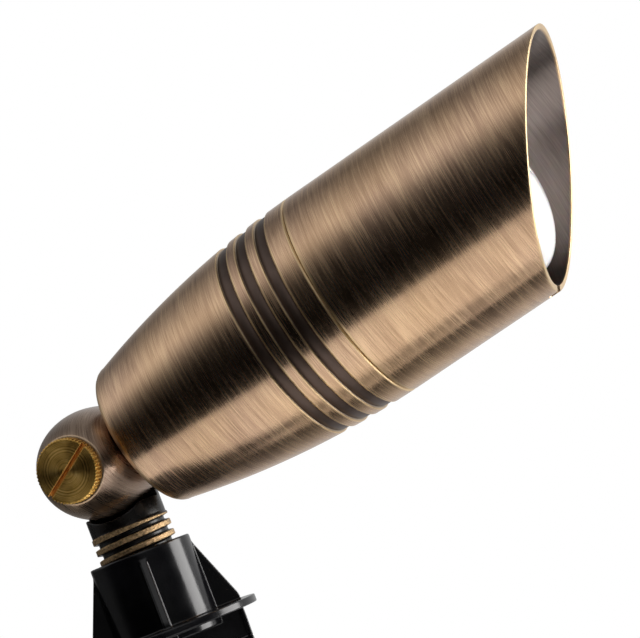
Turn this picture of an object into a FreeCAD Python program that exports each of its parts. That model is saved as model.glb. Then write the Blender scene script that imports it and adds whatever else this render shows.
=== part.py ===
import FreeCAD, Part
import Sketcher
import math
import os
import re

# Garden spike spotlight, in millimetres. +Z is up along the stake, the lamp leans towards +X, and the
# clamp screw faces -Y. The origin is on the stake's axis at ground level, under the stake's flange.
#
# The lamp head is drawn in a frame of its own: its origin is on the knuckle's hinge axis and its +Z is
# the lamp's axis. head() then tilts it by rest_tilt and lifts it to hinge_height.

DIMENSIONS = [
    # ground stake
    ("hinge_height", 48.5, "ground to the knuckle's hinge axis"),
    ("flange_radius", 24.3, "round ground flange"),
    ("flange_thickness", 2.0, "round ground flange"),
    ("collar_radius", 13.8, "collar round the stem"),
    ("collar_height", 23.0, "ground to the collar's top"),
    ("collar_floor", 3.0, "ground to the floor of the collar's hollow"),
    ("gusset_thickness", 2.0, "gussets between collar and flange"),
    ("gusset_reach", 20.5, "stake's axis to a gusset's outer edge"),
    ("gusset_drop", 2.4, "collar's top to a gusset's top"),
    ("gusset_foot", 1.5, "upright foot of a gusset's outer edge"),
    ("blade_reach", 20.2, "stake's axis to a blade's outer edge at the ground"),
    ("blade_head", 3.0, "upright top of a blade's edge, under the ground flange"),
    ("blade_taper", 1.2, "what the upper stretch of a blade loses of its reach"),
    ("blade_straight", 55.0, "depth of the upper stretch of a blade"),
    ("blade_thickness", 1.8, "web of a blade"),
    ("rib_width", 1.0, "thickened edge of a blade, across"),
    ("rib_thickness", 3.4, "thickened edge of a blade, through"),
    ("spike_depth", 190.0, "ground to the point"),
    ("spike_core", 2.6, "round core where the blades meet"),
    ("fin_turn", 22.5, "first fin's direction about the stake, from +X towards +Y, in degrees"),
    ("exit_turn", 45.0, "lead's exit from the first fin, in degrees"),
    ("exit_height", 8.6, "ground to the lead's exit"),
    ("exit_boss_radius", 6.6, "boss round the lead's exit"),
    ("exit_boss_reach", 15.6, "stake's axis to the boss's face"),
    ("exit_hole_radius", 4.6, "hole for the grommet"),
    ("grommet_bore", 3.2, "grommet's hole for the lead"),
    ("grommet_lip_radius", 6.0, "grommet's outer lip"),
    ("grommet_lip", 1.2, "thickness of the grommet's lip"),
    # threaded stem
    ("thread_radius", 10.65, "crest of the stem's thread"),
    ("thread_root", 9.3, "root of the stem's thread"),
    ("thread_pitch", 2.9, "one turn of the stem's thread"),
    ("thread_crest", 1.2, "width of the thread's flat crest"),
    ("thread_sink", 0.2, "how far the thread reaches into its core"),
    ("thread_clearance", 0.07, "stem's thread to the collar's bore"),
    ("thread_run", 18.2, "length of the threaded stretch"),
    ("thread_turns", 6.05, "turns of the thread's ridge"),
    ("stem_seat", 11.0, "length of stem inside the collar"),
    ("stem_hollow", 6.4, "radius of the stem's hollow"),
    ("stem_head_radius", 10.7, "stem's knuckle half, about the hinge axis"),
    ("stem_head_depth", 10.2, "stem's knuckle half, along the hinge axis"),
    ("stem_head_round", 3.0, "rounding of the stem's knuckle half"),
    ("neck_radius", 10.35, "plain neck above the thread"),
    ("gland_bore", 2.8, "stem gland's hole for the lead"),
    ("gland_length", 5.0, "stem gland"),
    # knuckle
    ("ball_radius", 14.9, "head's knuckle half"),
    ("ball_straight", 2.5, "cylindrical stretch of the head's knuckle half"),
    ("ball_nose", 25.1, "depth of its dome, were it not cut flat"),
    ("ball_clearance", 0.5, "ball to the neck under it"),
    ("hinge_face_gap", 0.1, "between the two knuckle halves"),
    ("boss_radius", 11.5, "round boss between ball and housing"),
    ("boss_lip", 1.1, "full round lip of that boss"),
    ("rear_gap", 12.4, "hinge axis to the housing's rear face"),
    ("neck_gasket_thickness", 0.5, "gasket between boss and housing"),
    ("neck_gasket_inset", 0.5, "its edge inside the boss's edge"),
    ("spigot_radius", 6.0, "threaded spigot through the housing's rear wall"),
    ("spigot_bore", 3.6, "its hole for the leads"),
    ("spigot_end", 10.5, "housing's rear face to the spigot's end"),
    ("pocket_inner", 4.6, "lead pocket in each knuckle half, round the clamp screw"),
    ("pocket_outer", 8.3, "lead pocket in each knuckle half"),
    ("pocket_depth", 6.0, "lead pocket in each knuckle half"),
    ("channel_radius", 2.6, "channel from the pocket to the lamp"),
    ("knuckle_seal_radius", 9.5, "centre line of the knuckle's seal ring"),
    ("knuckle_seal_section", 0.45, "radius of that ring's section"),
    # clamp screw
    ("seat_radius", 8.8, "flat on the ball under the clamp screw"),
    ("screw_radius", 3.0, "clamp screw's shank"),
    ("screw_clearance", 0.25, "shank to the head's hole"),
    ("screw_running", 0.05, "shank to the stem's tapped hole"),
    ("screw_reach", 8.0, "shank past the hinge face"),
    ("screw_head_radius", 8.45, "tips of the knurled rim"),
    ("screw_head_height", 2.75, "knurled head"),
    ("knurl_depth", 0.4, "grooves of the knurled rim"),
    ("knurl_count", 55, "grooves of the knurled rim"),
    ("slot_turn", 34.5, "screwdriver slot from level, in degrees"),
    ("slot_width", 1.1, "screwdriver slot"),
    ("slot_depth", 1.5, "screwdriver slot"),
    ("washer_radius", 6.5, "spring washer"),
    ("washer_thickness", 0.8, "spring washer"),
    ("washer_recess", 0.55, "depth of the washer's seat in the ball"),
    ("washer_room", 0.3, "round the washer in its seat"),
    ("nut_across", 17.0, "neck nut across its flats"),
    ("nut_height", 5.0, "neck nut"),
    ("lock_washer_thickness", 0.9, "washer under the neck nut"),
    # housing
    ("seam_radius", 29.25, "outside at the seam between housing and shroud"),
    ("seam_length", 69.0, "housing's rear face to the seam"),
    ("outline_radius", 256.0, "bow of the tapered outline, level at the seam"),
    ("rear_round", 3.0, "rounding of the rear edge"),
    ("groove_start", 47.15, "rear face to the first ring groove"),
    ("groove_pitch", 6.25, "from one ring groove to the next"),
    ("groove_width", 3.2, "ring groove"),
    ("groove_depth", 0.95, "ring groove's edges"),
    ("groove_crown", 0.5, "rise of the groove's rounded floor"),
    ("land_corner", 0.45, "eased rear corner of each ring"),
    ("seam_corner", 0.35, "eased edges on both sides of the seam"),
    ("rear_wall", 4.0, "housing's rear wall"),
    ("cavity_rear", 17.2, "radius of the cavity at the rear wall"),
    ("cavity_front", 22.6, "radius of the cavity at the bracket's ledge"),
    ("ledge", 45.0, "rear face to the bracket's ledge"),
    ("sleeve_radius", 27.5, "sleeve that carries the shroud"),
    ("sleeve_bore", 25.6, "lamp's chamber"),
    ("sleeve_length", 38.15, "seam to the sleeve's end"),
    ("sleeve_thread", 26.3, "reduced end under the lens ring"),
    ("seal_section", 0.55, "radius of the seal rings' section"),
    ("seal_running", 0.05, "seal rings to the piece that slides over them"),
    ("seal_first", 7.0, "seam to the first housing seal"),
    ("seal_pitch", 22.0, "from one housing seal to the other"),
    # shroud
    ("shroud_bore", 27.6, "inside of the shroud"),
    ("shroud_front", 28.8, "outside of the shroud at its tip"),
    ("shroud_length", 77.8, "seam to the shroud's tip"),
    ("seam_gap", 0.15, "housing to shroud"),
    ("rim_slope", 29.7, "slant of the mouth, in degrees"),
    ("notch_radius", 1.9, "drain notch"),
    ("notch_depth", 3.0, "drain notch"),
    ("shroud_seal_place", 17.0, "seam to the shroud's own seal"),
    ("shroud_seal_width", 1.8, "shroud's own seal"),
    ("shroud_seal_depth", 0.7, "shroud's own seal, inside the wall"),
    # lens
    ("dome_radius", 22.7, "lens dome"),
    ("dome_height", 12.7, "lens dome, above its straight skirt"),
    ("dome_skirt", 3.6, "lens flange's rear face to the dome's start"),
    ("lens_wall", 2.0, "glass"),
    ("lens_flange_radius", 26.0, "lens flange"),
    ("lens_flange_thickness", 2.2, "lens flange"),
    ("lens_gasket_thickness", 1.0, "gasket behind the lens"),
    ("lens_gasket_inset", 0.6, "its edge inside the sleeve's bore"),
    ("ring_lip", 1.2, "front lip of the lens ring"),
    ("ring_clearance", 0.3, "lens ring to dome, and to the glass under it"),
    ("thread_fit", 0.05, "lens ring to the sleeve's end"),
    # lamp and its socket
    ("lamp_radius", 24.8, "lamp's rim"),
    ("lamp_rim", 3.0, "thickness of the lamp's rim"),
    ("lamp_setback", 2.0, "sleeve's end to the lamp's front"),
    ("lamp_length", 40.0, "lamp's front to the back of its body"),
    ("lamp_neck", 10.5, "back of the lamp's body"),
    ("lamp_wall", 1.6, "lamp's body"),
    ("source_radius", 9.0, "light source plate"),
    ("source_thickness", 1.5, "light source plate"),
    ("lamp_base_width", 15.0, "lamp's base"),
    ("lamp_base_depth", 11.0, "lamp's base"),
    ("lamp_base_height", 8.0, "lamp's base"),
    ("pin_radius", 0.75, "lamp's pins"),
    ("pin_pitch", 5.33, "between the lamp's pins"),
    ("pin_length", 6.5, "lamp's pins"),
    ("clip_section", 0.6, "radius of the clip's wire"),
    ("socket_width", 18.0, "lamp socket"),
    ("socket_depth", 12.0, "lamp socket"),
    ("socket_gap", 0.3, "lamp's base to the socket"),
    ("contact_wall", 0.3, "socket contacts"),
    ("bracket_thickness", 1.2, "socket bracket"),
    ("bracket_screw_radius", 1.25, "bracket screws"),
    ("bracket_screw_length", 7.0, "bracket screws under the bracket"),
    ("bracket_screw_cap", 1.1, "height of the bracket screws' heads"),
    ("lead_radius", 0.9, "socket leads with their insulation"),
    ("lead_spread", 1.1, "lamp's axis to each lead in the neck"),
    ("rest_tilt", 78.7, "lamp's axis from upright, in degrees"),
]

document = FreeCAD.newDocument("GardenSpikeSpotlight")
sheet = document.addObject("Spreadsheet::Sheet", "Dim")
for row, (alias, size, note) in enumerate(DIMENSIONS, 1):
    sheet.set(f"A{row}", note)
    sheet.set(f"B{row}", str(size))
    sheet.setAlias(f"B{row}", alias)
document.recompute()

ALIASES = re.compile(r"\b(" + "|".join(alias for alias, size, note in DIMENSIONS) + r")\b")
HINGE = FreeCAD.Rotation(FreeCAD.Vector(1, 0, 0), 90)
ACROSS = FreeCAD.Rotation(FreeCAD.Vector(0, 1, 0), 90)
UPRIGHT = FreeCAD.Rotation()

parts = []


# ---------------------------------------------------------------- places worked out from the sheet
def ring(number):
    """Place along the lamp's axis, from the rear face, where ring groove NUMBER starts."""
    return f"(groove_start + {number} * groove_pitch)"


def outline_radius_at(place):
    """Outer radius of the tapered housing at a distance from its rear face."""
    return f"(seam_radius - outline_radius + sqrt(outline_radius ^ 2 - (seam_length - {place}) ^ 2))"


SEAM = "(rear_gap + seam_length)"
SLEEVE_END = f"({SEAM} + sleeve_length)"
LEDGE = "(rear_gap + ledge)"
BALL_FLAT = "(ball_straight + ball_nose * sqrt(1 - (seat_radius / ball_radius) ^ 2))"
LAMP_FRONT = f"({SLEEVE_END} - lamp_setback)"
LAMP_BACK = f"({LAMP_FRONT} - lamp_length)"
BASE_BACK = f"({LAMP_BACK} - lamp_base_height)"
SOCKET_FRONT = f"({BASE_BACK} - socket_gap)"
SOCKET_BACK = f"({LEDGE} + bracket_thickness)"
LENS_BACK = f"({SLEEVE_END} + lens_gasket_thickness)"
LENS_FRONT = f"({LENS_BACK} + lens_flange_thickness)"
STEM_FOOT = "(collar_height - stem_seat)"
THREAD_TOP = f"({STEM_FOOT} + thread_run)"
SCREW_SEAT = f"({BALL_FLAT} - washer_recess)"
UNDER_SCREW = f"({SCREW_SEAT} + washer_thickness + thread_fit)"
SCREW_FACE = f"({UNDER_SCREW} + screw_head_height)"
SCREW_CIRCLE = "((cavity_front + sleeve_bore) / 2)"


# ---------------------------------------------------------------- helpers
def full(expression):
    """Points each alias in an expression at the sheet."""
    return ALIASES.sub(r"Dim.\1", expression)


def value(expression):
    """What an expression comes to now, as a plain number."""
    return float(sheet.evalExpression(full(str(expression))))


def bind(thing, target, expression):
    """Ties a property to the sheet."""
    thing.setExpression(target, full(expression))


def bind_place(thing, x="0", y="0", z="0"):
    """Ties a placement's base to the sheet."""
    for axis, expression in zip("xyz", (x, y, z)):
        if expression != "0":
            bind(thing, f"Placement.Base.{axis}", expression)


def sketch_on(body, name, role, lift="0"):
    """A sketch on one of a body's own origin planes."""
    plane = next(item for item in body.Origin.OriginFeatures if item.Role == role)
    sketch = body.newObject("Sketcher::SketchObject", name)
    sketch.AttachmentSupport = [(plane, "")]
    sketch.MapMode = "FlatFace"
    if lift != "0":
        bind(sketch, "AttachmentOffset.Base.z", lift)
    return sketch


def arc_between(start, end, radius):
    """The shorter arc from start to end; it turns left for a radius above zero, right below it."""
    turn = math.copysign(1.0, radius)
    chord = end - start
    left = FreeCAD.Vector(-chord.y, chord.x, 0).normalize()
    reach = math.sqrt(radius ** 2 - (chord.Length / 2) ** 2)
    centre = (start + end) / 2 + left * reach * turn
    first, last = (start, end) if turn > 0 else (end, start)
    angles = [math.atan2(point.y - centre.y, point.x - centre.x) for point in (first, last)]
    if angles[1] < angles[0]:
        angles[1] += 2 * math.pi
    circle = Part.Circle(centre, FreeCAD.Vector(0, 0, 1), abs(radius))
    return Part.ArcOfCircle(circle, *angles)


def closed_outline(sketch, corners):
    """Joins corners into a loop. A corner is (x, y), or (x, y, radius) where an arc leaves it."""
    points = [FreeCAD.Vector(value(corner[0]), value(corner[1]), 0) for corner in corners]
    edges = []
    for index, corner in enumerate(corners):
        start = points[index]
        end = points[(index + 1) % len(points)]
        if len(corner) == 2:
            edges.append((sketch.addGeometry(Part.LineSegment(start, end)), 1, 2))
            continue
        radius = value(corner[2])
        edge = sketch.addGeometry(arc_between(start, end, radius))
        edges.append((edge, 1, 2) if radius > 0 else (edge, 2, 1))
        rule = sketch.addConstraint(Sketcher.Constraint("Radius", edge, abs(radius)))
        bind(sketch, f"Constraints[{rule}]", f"abs({corner[2]})")
    for index, (edge, start, end) in enumerate(edges):
        follower, follower_start = edges[(index + 1) % len(edges)][:2]
        sketch.addConstraint(Sketcher.Constraint("Coincident", edge, end, follower, follower_start))
        for kind, line, coordinate, expression in (
            ("DistanceX", -2, points[index].x, corners[index][0]),
            ("DistanceY", -1, points[index].y, corners[index][1]),
        ):
            if expression == "0":
                sketch.addConstraint(Sketcher.Constraint("PointOnObject", edge, start, line))
                continue
            rule = sketch.addConstraint(Sketcher.Constraint(kind, -1, 1, edge, start, coordinate))
            bind(sketch, f"Constraints[{rule}]", expression)


def turned(name, corners):
    """A piece turned about its own Z axis from an outline of (radius, height) corners."""
    body = document.addObject("PartDesign::Body", name)
    sketch = sketch_on(body, name + "_outline", "XZ_Plane")
    closed_outline(sketch, corners)
    turn = body.newObject("PartDesign::Revolution", name + "_turn")
    turn.Profile = sketch
    turn.ReferenceAxis = (sketch, ["V_Axis"])
    turn.Angle = 360
    body.Tip = turn
    return body


def tube(name, outer, inner, low, high):
    """A plain turned ring."""
    return turned(name, [(inner, low), (outer, low), (outer, high), (inner, high)])


def cylinder(name, radius, height, x="0", y="0", z="0", turn=UPRIGHT):
    rod = document.addObject("Part::Cylinder", name)
    rod.Placement = FreeCAD.Placement(FreeCAD.Vector(), turn)
    bind(rod, "Radius", radius)
    bind(rod, "Height", height)
    bind_place(rod, x, y, z)
    return rod


def block(name, length, width, height, x="0", y="0", z="0", turn=UPRIGHT):
    box = document.addObject("Part::Box", name)
    box.Placement = FreeCAD.Placement(FreeCAD.Vector(), turn)
    bind(box, "Length", length)
    bind(box, "Width", width)
    bind(box, "Height", height)
    bind_place(box, x, y, z)
    return box


def centred_block(name, length, width, height, z, x="0", y="0"):
    """A block centred on (x, y) with its lower face at z."""
    return block(name, length, width, height, f"{x} - ({length}) / 2", f"{y} - ({width}) / 2", z)


def torus(name, ring_radius, section_radius, z):
    hoop = document.addObject("Part::Torus", name)
    bind(hoop, "Radius1", ring_radius)
    bind(hoop, "Radius2", section_radius)
    bind_place(hoop, z=z)
    return hoop


def fused(name, pieces):
    union = document.addObject("Part::MultiFuse", name)
    union.Shapes = pieces
    union.Refine = True
    return union


def grouped(name, pieces):
    """Separate solids that share one sub-part."""
    group = document.addObject("Part::Compound", name)
    group.Links = pieces
    return group


def cut(name, base, *tools):
    """BASE less each of the tools."""
    tool = tools[0] if len(tools) == 1 else fused(name + "_tools", list(tools))
    result = document.addObject("Part::Cut", name)
    result.Base = base
    result.Tool = tool
    return result


def shared(name, first, second):
    common = document.addObject("Part::Common", name)
    common.Base = first
    common.Tool = second
    return common


def loose(thing, label):
    """A primitive with a place of its own is grouped, so that the group can be placed as well."""
    if thing.TypeId in ("Part::Box", "Part::Cylinder", "Part::Torus"):
        return grouped(label + "_group", [thing])
    return thing


def keep(thing, label):
    """Names a finished sub-part."""
    thing.Label = label
    parts.append(thing)
    return thing


def head(thing, label):
    """A finished sub-part of the lamp head: tilted, and lifted to the hinge axis."""
    thing = loose(thing, label)
    thing.Placement = FreeCAD.Placement(FreeCAD.Vector(), FreeCAD.Rotation(FreeCAD.Vector(0, 1, 0), 1))
    bind(thing, "Placement.Rotation.Angle", "rest_tilt")
    bind_place(thing, z="hinge_height")
    return keep(thing, label)


def on_stake(thing, label):
    """A finished sub-part of the stake, turned about its axis with the fins."""
    thing.Placement = FreeCAD.Placement(FreeCAD.Vector(), FreeCAD.Rotation(FreeCAD.Vector(0, 0, 1), 1))
    bind(thing, "Placement.Rotation.Angle", "fin_turn")
    return keep(thing, label)


def towards_exit(name, thing):
    """A piece drawn along +Z, laid along the lead's exit."""
    thing.Placement = FreeCAD.Placement(FreeCAD.Vector(), ACROSS)
    bind_place(thing, z="exit_height")
    laid = grouped(name + "_laid", [thing])
    laid.Placement = FreeCAD.Placement(FreeCAD.Vector(), FreeCAD.Rotation(FreeCAD.Vector(0, 0, 1), 1))
    bind(laid, "Placement.Rotation.Angle", "exit_turn")
    return grouped(name + "_group", [laid])


def on_hinge(thing, label):
    """A finished sub-part drawn along the hinge axis, its +Z towards the clamp screw's head."""
    thing = loose(thing, label)
    thing.Placement = FreeCAD.Placement(FreeCAD.Vector(), HINGE)
    bind_place(thing, z="hinge_height")
    return keep(thing, label)


# ---------------------------------------------------------------- ground stake
def make_stake():
    """Collar, flange and core turned in one, with four gussets, four blades and the lead's exit."""
    bore = "(thread_radius + thread_clearance)"
    body = turned("stake", [
        ("0", "-spike_depth"),
        ("spike_core", "-spike_depth + 3 * spike_core"),
        ("spike_core", "-blade_thickness"),
        ("collar_radius", "0"),
        ("flange_radius", "0"),
        ("flange_radius", "flange_thickness"),
        ("collar_radius", "flange_thickness"),
        ("collar_radius", "collar_height"),
        (bore, "collar_height"),
        (bore, "collar_floor"),
        ("0", "collar_floor"),
    ])
    gusset = sketch_on(body, "gusset_outline", "XZ_Plane")
    root = "(collar_radius - gusset_thickness)"
    slope_top = "(collar_height - gusset_drop)"
    closed_outline(gusset, [
        (root, "flange_thickness / 2"),
        ("gusset_reach", "flange_thickness / 2"),
        ("gusset_reach", "flange_thickness + gusset_foot"),
        ("collar_radius", slope_top),
        (root, slope_top),
    ])
    blade = sketch_on(body, "blade_outline", "XZ_Plane")
    closed_outline(blade, [
        ("spike_core / 2", "flange_thickness / 2"),
        ("blade_reach", "flange_thickness / 2"),
        ("blade_reach", "-blade_head"),
        ("blade_reach - blade_taper", "-blade_straight"),
        ("spike_core", "-spike_depth + 3 * spike_core"),
        ("spike_core / 2", "-spike_depth + 3 * spike_core"),
    ])
    rib = sketch_on(body, "rib_outline", "XZ_Plane")
    closed_outline(rib, [
        ("blade_reach - rib_width", "flange_thickness / 2"),
        ("blade_reach", "flange_thickness / 2"),
        ("blade_reach", "-blade_head"),
        ("blade_reach - blade_taper", "-blade_straight"),
        ("spike_core", "-spike_depth + 3 * spike_core"),
        ("spike_core - rib_width", "-spike_depth + 3 * spike_core"),
        ("blade_reach - blade_taper - rib_width", "-blade_straight"),
        ("blade_reach - rib_width", "-blade_head"),
    ])
    pads = []
    webs = ((gusset, "gusset_thickness"), (blade, "blade_thickness"), (rib, "rib_thickness"))
    for sketch, thickness in webs:
        pad = body.newObject("PartDesign::Pad", sketch.Name + "_pad")
        pad.Profile = sketch
        pad.SideType = "Symmetric"
        bind(pad, "Length", thickness)
        pads.append(pad)
    document.recompute()
    pattern = body.newObject("PartDesign::PolarPattern", "fins")
    pattern.Originals = pads
    pattern.Axis = (next(item for item in body.Origin.OriginFeatures if item.Role == "Z_Axis"), [""])
    pattern.Angle = 360
    pattern.Occurrences = 4
    body.Tip = pattern
    boss = towards_exit("boss", cylinder("exit_boss", "exit_boss_radius", "exit_boss_reach"))
    hollow = cylinder("exit_boss_hollow", bore, "collar_height - collar_floor", z="collar_floor")
    hole = towards_exit("hole", cylinder("exit_hole", "exit_hole_radius", "2 * exit_boss_reach"))
    with_boss = fused("stake_with_boss", [body, cut("exit_boss_ring", boss, hollow)])
    on_stake(cut("stake_bored", with_boss, hole), "ground_stake")


def make_exit_grommet():
    """Rubber bush in the collar's side, lipped outside, for the supply lead."""
    start = "(thread_radius + thread_clearance + thread_clearance)"
    fit = "(exit_hole_radius - thread_clearance)"
    bush = turned("grommet", [
        ("grommet_bore", start),
        (fit, start),
        (fit, "exit_boss_reach + thread_clearance"),
        ("grommet_lip_radius", "exit_boss_reach + thread_clearance"),
        ("grommet_lip_radius", "exit_boss_reach + grommet_lip"),
        ("grommet_bore", "exit_boss_reach + grommet_lip"),
    ])
    on_stake(towards_exit("grommet", bush), "exit_grommet")


# ---------------------------------------------------------------- threaded stem
def make_stem():
    """Hollow threaded post whose upper end is the rear half of the knuckle."""
    core = turned("stem_core", [
        ("0", STEM_FOOT),
        ("thread_root", STEM_FOOT),
        ("thread_root", THREAD_TOP),
        ("neck_radius", THREAD_TOP),
        ("neck_radius", "hinge_height"),
        ("0", "hinge_height"),
    ])
    helix = document.addObject("Part::Helix", "thread_path")
    bind(helix, "Pitch", "thread_pitch")
    bind(helix, "Height", "thread_turns * thread_pitch")
    bind(helix, "Radius", "thread_root")
    bind_place(helix, z=f"{STEM_FOOT} + thread_crest")
    ridge = document.addObject("Sketcher::SketchObject", "thread_section")
    ridge.Placement = FreeCAD.Placement(FreeCAD.Vector(), HINGE)
    middle = f"{STEM_FOOT} + thread_crest"
    foot = "thread_crest * 0.8"
    closed_outline(ridge, [
        ("thread_root - thread_sink", f"{middle} - {foot}"),
        ("thread_radius", f"{middle} - thread_crest / 2"),
        ("thread_radius", f"{middle} + thread_crest / 2"),
        ("thread_root - thread_sink", f"{middle} + {foot}"),
    ])
    thread = document.addObject("Part::Sweep", "thread")
    thread.Sections = [ridge]
    thread.Spine = (helix, [])
    thread.Solid = True
    thread.Frenet = True
    disc = turned("stem_head", [
        ("0", "hinge_face_gap"),
        ("stem_head_radius", "hinge_face_gap"),
        ("stem_head_radius", "stem_head_depth - stem_head_round", "stem_head_round"),
        ("stem_head_radius - stem_head_round", "stem_head_depth"),
        ("0", "stem_head_depth"),
    ])
    disc.Placement = FreeCAD.Placement(FreeCAD.Vector(), HINGE.inverted())
    bind_place(disc, z="hinge_height")
    post = fused("stem_post", [core, thread, disc])
    room = "(ball_radius + ball_clearance)"
    swing = block("stem_swing_room", f"2 * {room}", f"{room} + hinge_face_gap", f"{room} + stem_head_radius",
                  x=f"-{room}", y=f"-{room}", z=f"hinge_height - {room}")
    hollow = cylinder("stem_bore", "stem_hollow", f"hinge_height - {room} - neck_radius / 4 - {STEM_FOOT}",
                      z=STEM_FOOT)
    channel = cylinder("stem_channel", "channel_radius", f"hinge_height - {STEM_FOOT} - pocket_inner",
                       y="hinge_face_gap + pocket_depth / 2", z=STEM_FOOT)
    pocket = tube("stem_pocket", "pocket_outer", "pocket_inner",
                  "-hinge_face_gap", "hinge_face_gap + pocket_depth")
    pocket.Placement = FreeCAD.Placement(FreeCAD.Vector(), HINGE.inverted())
    bind_place(pocket, z="hinge_height")
    tapped = cylinder("stem_tapped_hole", "screw_radius + screw_running", "screw_reach + 1",
                      y="screw_reach + 1", z="hinge_height", turn=HINGE)
    keep(cut("stem", post, swing, hollow, channel, pocket, tapped), "knuckle_stem")


def make_stem_gland():
    """Rubber gland in the stem's lower end."""
    fit = "(stem_hollow - thread_clearance)"
    keep(tube("gland", fit, "gland_bore", STEM_FOOT, f"{STEM_FOOT} + gland_length"), "stem_gland")


# ---------------------------------------------------------------- knuckle on the lamp's side
def make_head_knuckle():
    """Front half of the knuckle: a deep half ball cut flat under the screw, with a boss and a spigot."""
    drum = cylinder("ball_drum", "ball_radius", "ball_straight", turn=HINGE)
    dome = document.addObject("Part::Ellipsoid", "ball_dome")
    dome.Placement = FreeCAD.Placement(FreeCAD.Vector(), HINGE)
    dome.Angle1 = 0
    bind(dome, "Radius1", "ball_nose")
    bind(dome, "Radius2", "ball_radius")
    bind(dome, "Radius3", "ball_radius")
    bind_place(dome, y="-ball_straight")
    reach = f"({BALL_FLAT} + ball_radius)"
    boss_top = "(rear_gap - neck_gasket_thickness)"
    window = block("ball_window", "4 * ball_radius", BALL_FLAT, f"2 * ball_radius + {boss_top}",
                   x="-2 * ball_radius", y=f"-{BALL_FLAT}", z="-2 * ball_radius")
    ball = shared("ball", fused("ball_uncut", [drum, dome]), window)
    boss = cylinder("neck_boss", "boss_radius", boss_top)
    stem_side = block("stem_side", "2 * boss_radius", "boss_radius", f"{boss_top} - boss_lip",
                      x="-boss_radius", y="0", z="0")
    near_boss = cut("neck_boss_cut", boss, stem_side)
    spigot = cylinder("neck_spigot", "spigot_radius", "neck_gasket_thickness + spigot_end", z=boss_top)
    solid = fused("head_knuckle_solid", [ball, near_boss, spigot])
    bore = cylinder("neck_bore", "spigot_bore", "rear_gap + spigot_end", z="pocket_outer + boss_lip")
    channel = cylinder("neck_channel", "channel_radius", "rear_gap - pocket_inner",
                       y="-pocket_depth / 2", z="pocket_inner + 1")
    pocket = tube("head_pocket", "pocket_outer", "pocket_inner", "-1", "pocket_depth")
    pocket.Placement = FreeCAD.Placement(FreeCAD.Vector(), HINGE)
    seal_room = "(knuckle_seal_section + seal_running)"
    seal_groove = tube("knuckle_seal_groove", f"knuckle_seal_radius + {seal_room}",
                       f"knuckle_seal_radius - {seal_room}", "-1", f"2 * {seal_room}")
    seal_groove.Placement = FreeCAD.Placement(FreeCAD.Vector(), HINGE)
    through = cylinder("clamp_hole", "screw_radius + screw_clearance", f"{reach} + 1", y="1", turn=HINGE)
    recess = cylinder("washer_seat", "washer_radius + washer_room", "washer_recess + 1",
                      y=f"-{SCREW_SEAT}", turn=HINGE)
    bored = cut("head_knuckle_bored", solid, bore, channel, pocket, seal_groove, through, recess)
    head(bored, "head_knuckle")


def make_knuckle_seal():
    """Seal ring in the head's hinge face."""
    hoop = torus("knuckle_hoop", "knuckle_seal_radius", "knuckle_seal_section",
                 "knuckle_seal_section + seal_running")
    on_hinge(hoop, "knuckle_seal")


def make_neck_fastening():
    """Gasket, washer and nut that hold the knuckle to the housing's rear wall."""
    thread = "(spigot_radius + thread_fit)"
    boss_top = "(rear_gap - neck_gasket_thickness)"
    inside = "(rear_gap + rear_wall)"
    head(tube("gasket_ring", "boss_radius - neck_gasket_inset", thread, boss_top, "rear_gap"), "neck_gasket")
    top = f"{inside} + lock_washer_thickness"
    head(tube("lock_ring", "nut_across / 2", thread, inside, top), "neck_washer")
    hexagon = document.addObject("Part::Prism", "nut_hexagon")
    hexagon.Polygon = 6
    bind(hexagon, "Circumradius", "nut_across / sqrt(3)")
    bind(hexagon, "Height", "nut_height")
    bind_place(hexagon, z=top)
    hole = cylinder("nut_hole", thread, "nut_height", z=top)
    head(cut("nut", hexagon, hole), "neck_nut")


# ---------------------------------------------------------------- clamp screw
def make_clamp_screw():
    """Knurled and slotted brass screw that squeezes the knuckle's halves together."""
    low = value(UNDER_SCREW)
    tip = value("screw_head_radius")
    root = tip - value("knurl_depth")
    count = int(value("knurl_count"))
    rim = []
    for tooth in range(count):
        for share, radius in ((0.0, root), (0.3, tip), (0.7, tip)):
            angle = 2 * math.pi * (tooth + share) / count
            rim.append(FreeCAD.Vector(radius * math.cos(angle), radius * math.sin(angle), low))
    knurled = document.addObject("Part::Feature", "screw_knurl")
    outline = Part.Face(Part.makePolygon(rim + rim[:1]))
    knurled.Shape = outline.extrude(FreeCAD.Vector(0, 0, value("screw_head_height")))
    ease = "knurl_depth"
    turned_head = turned("screw_head_envelope", [
        ("0", UNDER_SCREW),
        (f"screw_head_radius - {ease}", UNDER_SCREW),
        ("screw_head_radius", f"{UNDER_SCREW} + {ease} / 2"),
        ("screw_head_radius", f"{SCREW_FACE} - {ease} / 2"),
        (f"screw_head_radius - {ease}", SCREW_FACE),
        ("0", SCREW_FACE),
    ])
    rimmed = shared("screw_head", knurled, turned_head)
    shank = cylinder("screw_shank", "screw_radius", f"{UNDER_SCREW} + screw_reach + 0.5", z="-screw_reach")
    slot = block("slot_block", "2.2 * screw_head_radius", "slot_width", "slot_depth + 1",
                 x="-1.1 * screw_head_radius", y="-slot_width / 2", z=f"{SCREW_FACE} - slot_depth")
    turned_slot = grouped("screw_slot", [slot])
    turned_slot.Placement = FreeCAD.Placement(FreeCAD.Vector(), FreeCAD.Rotation(FreeCAD.Vector(0, 0, 1), 1))
    bind(turned_slot, "Placement.Rotation.Angle", "slot_turn")
    on_hinge(cut("screw", fused("screw_solid", [rimmed, shank]), turned_slot), "clamp_screw")
    washer_hole = "(screw_radius + screw_clearance)"
    low_face = f"{SCREW_SEAT} + thread_fit / 2"
    washer = tube("washer_ring", "washer_radius", washer_hole, low_face, f"{low_face} + washer_thickness")
    on_hinge(washer, "clamp_washer")


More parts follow.
